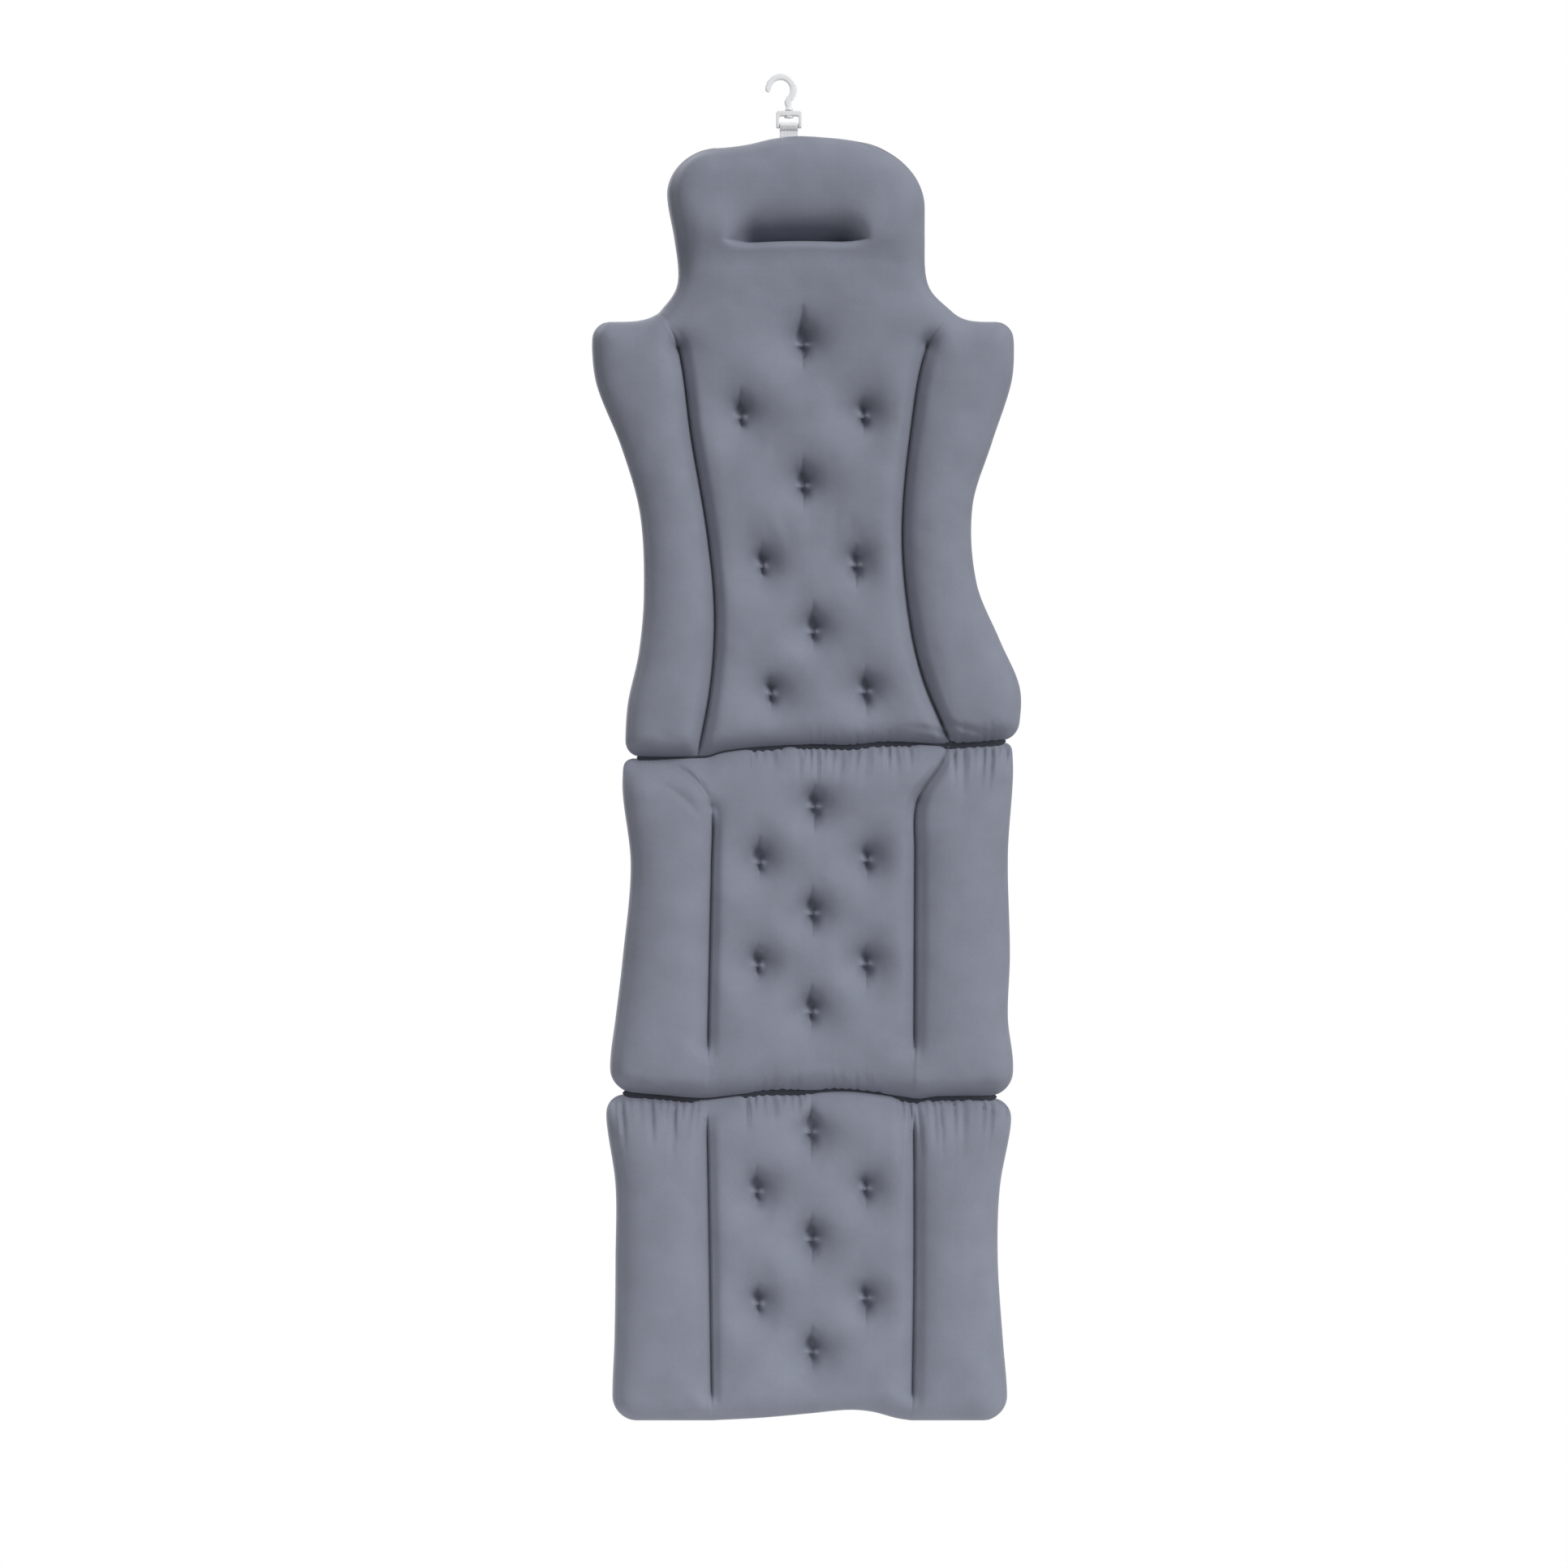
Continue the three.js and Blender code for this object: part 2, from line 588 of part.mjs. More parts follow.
function panelFill(nets, columns, firstRow) {
  const rows = part(nets.rows, firstRow, nets.rows.length - 2, columns[0], columns[1]);
  return fill(nets.front, nets.rear, rows);
}

function bolsterFill(name, nets, columns, spots) {
  return piece(name, cut(panelFill(nets, columns, 1), spots.map(buttonPocket)), FIBRE);
}

function lowerPanel(prefix, panel, cupShares) {
  const nets = panelNets(panel);
  const leftSpots = bolsterSpots(panel, cupShares, -1);
  const rightSpots = bolsterSpots(panel, cupShares, 1);
  const rear = cut(cover(nets.rear, 1), [...leftSpots, ...rightSpots].map(neckHole));
  const group = new THREE.Group();
  group.add(
    piece(`${prefix}_face_cover`, cover(nets.front, -1), SLATE),
    piece(`${prefix}_rear_cover`, rear, SLATE_REAR),
    piece(`${prefix}_centre_fill`, panelFill(nets, CENTRE_SPAN, 1), FIBRE),
    bolsterFill(`${prefix}_left_bolster_fill`, nets, LEFT_SPAN, leftSpots),
    bolsterFill(`${prefix}_right_bolster_fill`, nets, RIGHT_SPAN, rightSpots),
  );
  return { group, spots: [...leftSpots, ...rightSpots] };
}

// Back panel: head and torso in one pair of covers
function backNets() {
  const build = (torsoHeight, headHeight) => {
    const net = newNet();
    const rows = netRows(net, panelPlaces(TORSO), (place) => torsoHeight(TORSO, place));
    const headNet = netRows(net, headRows().map(headRow), headHeight);
    headNet[headNet.length - 1] = rows[0].slice(BOLSTER_COLUMNS, -BOLSTER_COLUMNS);
    net.cells = [...cellsBetween(net, rows), ...cellsBetween(net, headNet)];
    return { net, rows, headNet };
  };
  const front = build(faceHeight, headFaceHeight);
  const rear = build(rearHeight, headRearHeight);
  rear.net.cells = front.net.cells;
  return { front: front.net, rear: rear.net, rows: front.rows, headNet: front.headNet };
}

function tabSlot() {
  const width = WEB_WIDTH + 2 * SEAT_GAP;
  const thickness = 2 * WEB_THICKNESS + 2 * SEAT_GAP;
  const slot = new THREE.BoxGeometry(width, thickness, TAB_LENGTH + TAB_SEWN);
  const middle = BAR_LEVEL - (TAB_LENGTH + TAB_SEWN) / 2 - SEAT_GAP;
  return slot.translate(STEM_OFFSET - PAD_OFFSET, 0, middle);
}

function backPanel() {
  const nets = backNets();
  const spots = headSpots();
  const leftSpots = bolsterSpots(TORSO, TORSO_CUPS, -1);
  const rightSpots = bolsterSpots(TORSO, TORSO_CUPS, 1);
  const allSpots = [...spots, ...leftSpots, ...rightSpots];
  const slotRow = HEAD_ROWS.length + 1;
  const innerHead = part(nets.headNet, 1, slotRow - 1, 1, CENTRE_COLUMNS.length - 2);
  const innerNeck = part(nets.headNet, slotRow + 1, nets.headNet.length - 1, 1, CENTRE_COLUMNS.length - 2);
  const innerBack = part(nets.rows, 1, nets.rows.length - 2, ...CENTRE_SPAN);
  const headFill = fill(nets.front, nets.rear, innerHead);
  const centreFill = fill(nets.front, nets.rear, [...innerNeck, ...innerBack]);
  const group = new THREE.Group();
  group.add(
    piece('back_face_cover', cut(cover(nets.front, -1), [tabSlot()]), SLATE),
    piece('back_rear_cover', cut(cover(nets.rear, 1), [tabSlot(), ...allSpots.map(neckHole)]), SLATE_REAR),
    piece('head_fill', cut(headFill, [tabSlot(), ...spots.map(buttonPocket)]), FIBRE),
    piece('back_centre_fill', centreFill, FIBRE),
    bolsterFill('back_left_bolster_fill', nets, LEFT_SPAN, leftSpots),
    bolsterFill('back_right_bolster_fill', nets, RIGHT_SPAN, rightSpots),
  );
  return { group, spots: allSpots };
}

// Seam flange in the gap between two panels
function foldStrip(name, panel, level, tilt) {
  const [left, right] = [1, 2].map((side) => reach(panel.edge, 1, side) - PANEL_CORNER);
  const width = FOLD_GAP - 2 * SEAT_GAP;
  const outline = new THREE.Shape();
  outline.moveTo(-left, -width / 2);
  outline.lineTo(right, -width / 2);
  outline.absarc(right, 0, width / 2, -Math.PI / 2, Math.PI / 2, false);
  outline.lineTo(-left, width / 2);
  outline.absarc(-left, 0, width / 2, Math.PI / 2, 1.5 * Math.PI, false);
  const options = { depth: CLOTH, bevelEnabled: false, curveSegments: STRIP_ARC_STEPS };
  const geometry = new THREE.ExtrudeGeometry(outline, options).translate(0, 0, -CLOTH / 2);
  const strip = piece(name, geometry, SLATE);
  strip.rotation.set(Math.PI / 2, 0, 0);
  const holder = new THREE.Group();
  holder.position.z = level;
  holder.rotation.y = -THREE.MathUtils.degToRad(tilt);
  return holder.add(strip);
}

// Hook: a bow of tapering band that turns back into its stem
function hookCentre(t) {
  const angle = THREE.MathUtils.degToRad(lerp(HOOK_START, HOOK_END, t));
  const [across, up] = [HOOK_RADIUS * Math.cos(angle), HOOK_RADIUS * Math.sin(angle)];
  return new THREE.Vector2(across, up - HOOK_INNER_RADIUS);
}

function hookPath() {
  const bow = Array.from({ length: HOOK_STEPS + 1 }, (_, i) => hookCentre(i / HOOK_STEPS));
  const leave = bow[HOOK_STEPS];
  const heading = THREE.MathUtils.degToRad(HOOK_END - 90);
  const foot = new THREE.Vector2(STEM_OFFSET, BUCKLE_TOP + SEAT_GAP + COLLAR_HEIGHT / 2);
  const pull = leave.distanceTo(foot) / 2;
  const lead = new THREE.Vector2(Math.cos(heading), Math.sin(heading)).multiplyScalar(pull).add(leave);
  const settle = new THREE.Vector2(foot.x, foot.y + pull);
  const neck = new THREE.CubicBezierCurve(leave, lead, settle, foot).getPoints(HOOK_STEPS / 4);
  return [...bow, ...neck.slice(1)];
}

function hookOutline() {
  const path = hookPath();
  const sideAt = (i, sign) => {
    const along = path[Math.min(i + 1, path.length - 1)].clone().sub(path[Math.max(i - 1, 0)]).normalize();
    const band = lerp(HOOK_TIP_BAND, HOOK_BAND, Math.min(1, (2 * i) / path.length));
    const half = sign * (band / 2 - HOOK_BEVEL);
    return new THREE.Vector2(path[i].x - along.y * half, path[i].y + along.x * half);
  };
  const left = path.map((_, i) => sideAt(i, 1));
  const right = path.map((_, i) => sideAt(i, -1)).reverse();
  return new THREE.Shape([...left, ...right]);
}

function upright(radius, top, bottom) {
  const post = new THREE.CylinderGeometry(radius, radius, top - bottom, STEM_SIDES);
  return post.rotateX(Math.PI / 2).translate(STEM_OFFSET, 0, (top + bottom) / 2);
}

function hangingHook() {
  const flat = HOOK_THICKNESS - 2 * HOOK_BEVEL;
  const options = {
    depth: flat, bevelEnabled: true, bevelThickness: HOOK_BEVEL, bevelSize: HOOK_BEVEL, bevelSegments: 1,
  };
  const band = new THREE.ExtrudeGeometry(hookOutline(), options);
  band.translate(0, 0, -flat / 2).rotateX(Math.PI / 2);
  const collarBottom = BUCKLE_TOP + SEAT_GAP;
  const flangeTop = BUCKLE_TOP - BUCKLE_HEAD_HEIGHT - SEAT_GAP;
  const collar = upright(COLLAR_RADIUS, collarBottom + COLLAR_HEIGHT, collarBottom);
  const stem = upright(STEM_RADIUS, collarBottom + COLLAR_HEIGHT / 2, flangeTop - FLANGE_HEIGHT / 2);
  const flange = upright(FLANGE_RADIUS, flangeTop, flangeTop - FLANGE_HEIGHT);
  return piece('hanging_hook', join([band, collar, stem, flange]), CLEAR);
}

// Buckle: a frame with a bored head and a round bar below
function roundedFrame(width, top, bottom, corner) {
  const shape = new THREE.Shape();
  const side = width / 2 - corner;
  shape.absarc(side, top - corner, corner, 0, Math.PI / 2, false);
  shape.absarc(-side, top - corner, corner, Math.PI / 2, Math.PI, false);
  shape.absarc(-side, bottom + corner, corner, Math.PI, 1.5 * Math.PI, false);
  shape.absarc(side, bottom + corner, corner, 1.5 * Math.PI, 2 * Math.PI, false);
  return shape;
}

function hookBuckle() {
  const window = WEB_WIDTH + 2 * WEB_SIDE_GAP;
  const width = window + 2 * BUCKLE_WALL - 2 * BUCKLE_BEVEL;
  const flat = BUCKLE_DEPTH - 2 * BUCKLE_BEVEL;
  const [top, bottom] = [BUCKLE_TOP - BUCKLE_BEVEL, BUCKLE_BOTTOM + BUCKLE_BEVEL];
  const outline = roundedFrame(width, top, bottom, BUCKLE_CORNER);
  const options = {
    depth: flat, bevelEnabled: true, bevelThickness: BUCKLE_BEVEL, bevelSize: BUCKLE_BEVEL,
    bevelSegments: 1, curveSegments: BUCKLE_ARC_STEPS,
  };
  const block = new THREE.ExtrudeGeometry(outline, options);
  block.translate(0, 0, -flat / 2).rotateX(Math.PI / 2).translate(STEM_OFFSET, 0, 0);
  const openTop = BUCKLE_TOP - BUCKLE_HEAD_HEIGHT;
  const openBottom = BUCKLE_BOTTOM - CUT_MARGIN;
  const opening = new THREE.BoxGeometry(window, BUCKLE_DEPTH + 2 * CUT_MARGIN, openTop - openBottom);
  opening.translate(STEM_OFFSET, 0, (openTop + openBottom) / 2);
  const bore = upright(STEM_RADIUS + STEM_CLEARANCE, BUCKLE_TOP + CUT_MARGIN, openTop - CUT_MARGIN);
  const barLength = window + BUCKLE_WALL;
  const bar = new THREE.CylinderGeometry(BAR_RADIUS, BAR_RADIUS, barLength, BAR_SIDES);
  bar.rotateZ(Math.PI / 2).translate(STEM_OFFSET, 0, BAR_LEVEL);
  return piece('hook_buckle', join([cut(block, [opening, bore]), bar]), PALE);
}

// Webbing: once round the bar, then doubled down into the head's seam
function webbingLoop() {
  const inner = BAR_RADIUS + WEB_CLEARANCE;
  const outer = inner + WEB_THICKNESS;
  const drop = Math.sqrt(outer * outer - WEB_THICKNESS * WEB_THICKNESS);
  const start = Math.atan2(-drop, WEB_THICKNESS);
  const outline = new THREE.Shape();
  outline.moveTo(-WEB_THICKNESS, -TAB_LENGTH - TAB_SEWN);
  outline.lineTo(WEB_THICKNESS, -TAB_LENGTH - TAB_SEWN);
  outline.absarc(0, 0, outer, start, Math.PI - start, false);
  const eye = new THREE.Path();
  eye.absarc(0, 0, inner, 0, 2 * Math.PI, true);
  outline.holes.push(eye);
  const options = { depth: WEB_WIDTH, bevelEnabled: false, curveSegments: BAR_SIDES };
  const geometry = new THREE.ExtrudeGeometry(outline, options).translate(0, 0, -WEB_WIDTH / 2);
  geometry.rotateX(Math.PI / 2).rotateZ(Math.PI / 2).translate(STEM_OFFSET, 0, BAR_LEVEL);
  return piece('webbing_loop', geometry, WEB);
}

// The whole object
const back = backPanel();
const seat = lowerPanel('seat', SEAT, SEAT_CUPS);
const legs = lowerPanel('leg', LEGS, LEG_CUPS);
const cupSpots = [...back.spots, ...seat.spots, ...legs.spots];
const cups = cupSpots.map((spot, i) => suctionCup(`suction_cup_${String(i + 1).padStart(2, '0')}`, spot));

const pad = new THREE.Group();
pad.position.x = PAD_OFFSET;
pad.add(back.group, seat.group, legs.group, ...cups);
pad.add(foldStrip('upper_fold_strip', TORSO, UPPER_FOLD, UPPER_FOLD_TILT));
pad.add(foldStrip('lower_fold_strip', SEAT, LOWER_FOLD, 0));

const bathPillow = new THREE.Group();
bathPillow.add(hangingHook(), hookBuckle(), webbingLoop(), pad);

export default bathPillow;
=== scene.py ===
"""Looks of a hanging bath pillow for the whole body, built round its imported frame."""

import math

import bmesh
import bpy
import numpy as np
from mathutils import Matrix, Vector, noise


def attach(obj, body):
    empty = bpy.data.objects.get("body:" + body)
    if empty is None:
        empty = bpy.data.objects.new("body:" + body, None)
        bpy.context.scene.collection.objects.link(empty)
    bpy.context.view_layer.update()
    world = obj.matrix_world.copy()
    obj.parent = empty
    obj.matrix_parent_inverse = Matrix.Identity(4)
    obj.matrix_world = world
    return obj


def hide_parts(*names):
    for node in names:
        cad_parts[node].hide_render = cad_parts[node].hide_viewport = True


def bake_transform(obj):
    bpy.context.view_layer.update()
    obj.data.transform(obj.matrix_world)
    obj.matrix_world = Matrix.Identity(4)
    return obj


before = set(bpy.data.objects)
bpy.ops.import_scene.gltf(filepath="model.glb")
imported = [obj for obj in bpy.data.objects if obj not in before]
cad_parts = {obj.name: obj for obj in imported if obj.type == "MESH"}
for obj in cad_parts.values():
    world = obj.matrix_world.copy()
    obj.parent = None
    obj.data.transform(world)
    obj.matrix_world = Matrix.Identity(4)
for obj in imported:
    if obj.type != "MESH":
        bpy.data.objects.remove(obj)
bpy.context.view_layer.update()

# Sizes are in millimetres, apart from those of the camera, materials, floor and lamps, which are in metres
MM = 0.001
FAR = 1000.0
TINY = 1e-12
WELD_DISTANCE = 0.001

# Camera: straight on, framed as the photograph
VIEW_CENTRE = (0.0032, -0.6936)
VIEW_WIDTH = 1.5456
VIEW_END = 50
LENS = 100.0
SENSOR = 36.0

# Lengths down the pad
HEAD_TOP = -67.964
HEAD_LENGTH = 161.0
TORSO_LENGTH = 430.0
SEAT_LENGTH = 342.0
LEG_LENGTH = 320.0
CENTRE_GAP, BOLSTER_GAP = 0.8, 1.5
GAP_WIDENS = (70, 110)
SHOULDER = HEAD_TOP - HEAD_LENGTH
UPPER_FOLD = SHOULDER - TORSO_LENGTH
LOWER_FOLD = UPPER_FOLD - SEAT_LENGTH
HEM = LOWER_FOLD - LEG_LENGTH

# Lie of the edges; the hem's lift is given by the share of its half width, then up
PAD_OFFSET = 30.0
SHOULDER_DROP = 9.0
SHOULDER_BEND = 4
UPPER_SLOPE = math.tan(math.radians(2.0))
HEM_LIFT = np.array([[-1, 0], [-0.5, 2.6], [0, 7], [0.38, 10.4], [0.62, 8.4], [0.85, 2.4], [1, 0]])
HEAD_CORNERS = (47.0, 58.5)

# Outlines: share of the panel's length, then the reach left and right of the centre line
HEAD_EDGE = np.array([
    [0, 142, 111], [0.3, 142, 112], [0.55, 135, 112], [0.77, 131, 113], [0.88, 135, 119.5], [1, 150, 140],
])
TORSO_CHANNEL = np.array([
    [0, 150, 140], [0.08, 131, 114], [0.28, 118, 98], [0.5, 102, 90], [0.68, 95, 95], [0.84, 99, 109],
    [1, 112, 138],
])
TORSO_EDGE = np.array([
    [0, 215, 198], [0.07, 216, 200], [0.15, 211, 197], [0.29, 187, 178], [0.44, 169, 159],
    [0.62, 165, 163], [0.76, 170, 186], [0.88, 181, 206], [1, 184, 204],
])
SEAT_CHANNEL = np.array([[0, 118, 136], [0.06, 111, 126], [0.16, 98, 104], [0.3, 98, 102], [1, 103, 101]])
SEAT_EDGE = np.array([
    [0, 185, 198], [0.1, 186, 199], [0.32, 178, 194], [0.6, 186, 196], [0.78, 193, 194], [0.9, 198, 199],
    [1, 198, 198],
])
LEG_CHANNEL = np.array([[0, 103, 101], [0.5, 100, 101], [1, 98, 99]])
LEG_EDGE = np.array([
    [0, 200, 195], [0.08, 202, 197], [0.28, 193, 186], [0.5, 193, 184], [0.75, 194, 189], [0.9, 196, 193],
    [1, 196, 193],
])

# How the head's top and the sewn folds stray from straight lines: right of the centre line, then up
HEAD_CREST = np.array([
    [-145, 0], [-110, 0.3], [-85, 1.3], [-62, 4.4], [-39, 9.8], [-20, 12.3], [-5, 12.5], [11, 11.5],
    [30, 9.8], [50, 6.6], [72, 2.6], [95, 0.4], [115, 0],
])
UPPER_STRAY = np.array([
    [-205, -1.5], [-104, -4.2], [-88, 0], [-57, 2.8], [0, 3.6], [40, 1.4], [66, 3.2], [94, 2.6], [135, -0.8],
    [205, 1.4],
])
LOWER_STRAY = np.array([
    [-205, 4], [-151, 0.2], [-109, -3], [-76, 0.2], [-44, 4.2], [0, 5], [31, 5.6], [63, 2.6], [94, -2.2],
    [105, -3.8], [126, -1.4], [205, -1],
])
STRAY_REACH = 204

# Tufts: share of the panel's length, places across the centre's half width, and how long the upper crease is
TUFT_SPREAD = 0.53
CENTRE_TUFT = [0.0]
PAIR_TUFTS = [-TUFT_SPREAD, TUFT_SPREAD]
TORSO_TUFTS = [
    (0.094, CENTRE_TUFT, 1.6), (0.247, [-0.54, 0.56], 1), (0.414, CENTRE_TUFT, 1), (0.588, [-0.48, 0.5], 1),
    (0.744, CENTRE_TUFT, 1), (0.88, [-0.43, 0.43], 1),
]
SEAT_TUFTS = [
    (0.178, CENTRE_TUFT, 1), (0.333, PAIR_TUFTS, 1), (0.487, CENTRE_TUFT, 1), (0.632, PAIR_TUFTS, 1),
    (0.773, CENTRE_TUFT, 1),
]
LEG_TUFTS = [
    (0.128, CENTRE_TUFT, 1.2), (0.303, PAIR_TUFTS, 1), (0.461, CENTRE_TUFT, 1), (0.648, PAIR_TUFTS, 1),
    (0.81, CENTRE_TUFT, 1),
]

# Shares beyond a panel's top and bottom, for channels that are sewn through its ends
BEFORE_TOP, PAST_BOTTOM = -1.0, 2.0

# Padding in front of the seam plane
HEAD_CROWN = 38.0
BOLSTER_CROWN = 29.0
CENTRE_CROWN = 25.0
CHANNEL_REACH = 15.0
SEWN_FADE = 0.05
EDGE_ROUND = 25.0
HEAD_ROUND = 30.0
RISE_ABOVE_FOLD, RISE_BELOW_FOLD = 20.0, 38.0
TUFT_HEIGHT = 0.0
TUFT_REACH = 18.0
TUFT_SHARE = 0.75
TUFT_SEWN = 19.0
TUFT_BESIDE = 0.6
CREASE_UP, CREASE_UP_VARIES = 26.0, 0.25
CREASE_DOWN, CREASE_DOWN_VARIES = 22.0, 0.3
CREASE_TURN = 2.4
CREASE_WIDTH = 7.0
CREASE_FALL = 1.3
SLOT_DROP = 93.0
SLOT_FLAT, SLOT_LENGTH = 82.0, 150.0
SLOT_MIDDLE = -14.0
SLOT_HEIGHT = -10.0
SLOT_ROLL = 56.0
SLOT_BEND = 2.8
SLOT_HELD, SLOT_FREE = 30.0, 28.0
SLOT_LIP = 9.0
SLOT_BESIDE, SLOT_SEWN_FROM = 0.1, 0.02
NECK_ABOVE, NECK_BELOW = 25.0, 28.0

# Padding behind the seam plane
REAR_DEPTH = 14.0
REAR_CHANNEL = 8.0
REAR_CHANNEL_REACH = 12.0
REAR_BEVEL = 20.0
REAR_FOLD_RISE = 38.0
REAR_TUFT_DIP = 3.0

# Cloth net: marks of sewn lines, columns by share of the centre's half width, a bolster's steps and ease
LEFT_LINE, RIGHT_LINE, HEAD_LINE, TUFT_LINE = 1, 2, 3, 10
CLOSE_COLUMNS = np.array([0.0, 0.01, 0.022, 0.036, 0.053, 0.074, 0.1, 0.13, 0.163, 0.197, 0.231])
SEAM_COLUMNS = [0.79, 0.82, 0.85, 0.878, 0.904, 0.928, 0.95, 0.97, 0.986, 1.0]
EVEN_COLUMNS = 11
FINE_BOLSTER = (30, 0.55)
EVEN_BOLSTER = (15, 0.3)
ROW_STEP = 4.2
END_ROWS = [0.0, 1.2, 3.6, 7.2]
HEAD_END_ROWS = [0, 0.2, 0.8, 2.4, 5, 9, 14]
SLOT_ROWS = (-9, -5, -2, 0, 1.5, 4, 8)
TUFT_ROWS = [-4.6, -2.0, 0.0, 2.0, 4.6]
RIM_STEPS = 5
RIM_SHARP, LINE_SHARP = 0.7, 0.9

# Cloth simulation: slack of the cloth as cut, then how it is run and eased
CENTRE_SLACK = 1.10
BOLSTER_SLACK = 1.03
SLACK_DOWN = 1.05
CLOTH_FRAMES = 30
CLOTH_CAP = 16.0
CLOTH = {
    "quality": 6, "mass": 0.3, "air_damping": 2, "tension_stiffness": 15, "compression_stiffness": 15,
    "shear_stiffness": 5, "bending_stiffness": 0.5, "use_pressure": True, "uniform_pressure_force": 10.0,
}
START_SHARE = 0.85
EASE_STEPS = 2
EASE_SHARE = 0.4

# Creases pressed into the front cloth once it has swelled; places are right of the pad's centre line, then up
SLIT_DEPTH = 6.0
SLIT_SHARP = 2.4
SLIT_FADE = 1.5
WAIST_SHARE = 0.7
WAIST_HEIGHT = 3.4
PIT_DEPTH = 8.5
PIT_RISE = 9.0
PIT_WIDTH = 6.0
PIT_SHARES = (1.0, 0.95)
PIT_NARROWS = (0.8, 1.2)
HOLLOW_DEPTH = 7.5
HOLLOW_WIDTH = 30.0
BRIDGE_RISE = 3.5
BRIDGE_WIDTH = 5.0
SLOWED_FROM, DEEPEST = 2.0, 8.5
# Waves of the filling: height and size
UNEVEN = [(1.1, 46.0), (0.28, 15.0)]
UNEVEN_SLANT = 3
UNEVEN_FROM = 6
# Pleats: how they wander, by share of the pitch, size and start, and how they vary, by mean, swing and turn
PLEAT_PITCH = 8.0
PLEAT_HOLLOW = 0.25
PLEAT_ROOM = 0.3
PLEAT_WANDER = [(0.35, 17, 0), (0.15, 7.3, 1)]
PLEAT_LEAN, PLEAT_LEAN_SIZE = 0.012, 23
PLEAT_DEPTHS = (0.65, 0.35, 4.3)
PLEAT_LENGTHS = (0.75, 0.4, 2.1)
STRETCH_FADE = 6.0
# Each stretch of gathers: from, to, depth at the fold and length away from it
BACK_BOTTOM_GATHERS = [(-6, 92, 3.0, 12), (126, 190, 3.4, 15)]
SEAT_TOP_GATHERS = [(-60, -28, 7.5, 15), (-14, 102, 10.0, 22), (132, 196, 11.0, 29)]
SEAT_BOTTOM_GATHERS = [(-54, -10, 5.0, 14), (12, 70, 5.5, 15)]
LEG_TOP_GATHERS = [(-196, -114, 11.0, 30), (-68, -8, 9.0, 20), (84, 112, 7.0, 44), (118, 196, 8.0, 34)]
# Each pit where a channel's stitching ends: right, up, depth and width
BACK_PITS = [(-131, -264, 12, 8), (114, -261, 12, 8)]
SEAT_PITS = [(-98, -716, 6, 6), (104, -711, 4, 5), (-103, -952, 3, 5), (101, -952, 3, 5)]
LEG_PITS = [(-103, -1024, 4, 5), (101, -1022, 4, 5), (-98, -1294, 3, 5), (99, -1294, 3, 5)]
# Each single wrinkle: four points of a curve, depth and width
BACK_WRINKLES = [
    ([(122, -630), (142, -636), (160, -643), (178, -644)], 4.0, 3.2),
    ([(120, -638), (132, -643), (146, -648), (156, -650)], 3.0, 2.6),
    ([(96, -638), (110, -638), (122, -641), (132, -645)], 2.4, 2.8),
]
SEAT_WRINKLES = [
    ([(-172, -672), (-140, -674), (-116, -686), (-103, -710)], 4.6, 5.0),
    ([(-140, -674), (-124, -678), (-112, -688), (-102, -704)], 3.0, 2.6),
    ([(-160, -690), (-140, -694), (-122, -706), (-106, -730)], 2.0, 4.4),
]
LEG_WRINKLES = [
    ([(164, -1006), (168, -1016), (178, -1020), (189, -1016)], 2.4, 1.8),
    ([(0, -1000), (-0.5, -1012), (0.5, -1024), (0, -1036)], 3.4, 4.6),
    ([(89, -1005), (88, -1024), (90, -1044), (89, -1064)], 2.0, 2.6),
    ([(122, -1006), (124, -1020), (121, -1034), (123, -1050)], 1.8, 2.6),
    ([(137, -1006), (136, -1018), (138, -1030), (137, -1042)], 1.5, 2.4),
]
WRINKLE_STEPS = 24
WRINKLE_FALL = 1.4
WRINKLE_ENDS = (0.06, 0.94)
WRINKLE_FADE = 0.6

# Threads
THREAD_SIDES = 6
OFF_AXIS = np.array([0.31, 0.9, 0.27])
STITCH_PITCH, STITCH_LENGTH = 3.6, 2.6
STITCH_RADIUS = 0.42
STITCH_POINTS = 5
TACK_WIDTH, TACK_HEIGHT = 7.0, 2.6
TACK_THREADS = 6
TACK_RADIUS = 0.32
TACK_POINTS, TACK_EASED = 9, 5
TACK_ENDS = 1.4

# Solids that each panel's cover takes the place of
PANEL_PARTS = ["face_cover", "rear_cover", "centre_fill", "left_bolster_fill", "right_bolster_fill"]

# Folds: the panels above and below, then the fold's level and slope
UPPER_BEND = ("back_panel", "seat_panel", UPPER_FOLD, UPPER_SLOPE)
LOWER_BEND = ("seat_panel", "leg_panel", LOWER_FOLD, 0.0)

# Fold strips: the sewn flange between two panels
STRIP_HALF_HEIGHT = 4.0
STRIP_THICK = 0.9
STRIP_EDGE = 12.0
STRIP_TAPER = 9.0
STRIP_TIP = 0.08
STRIP_POINTS, STRIP_ROWS = 200, 9

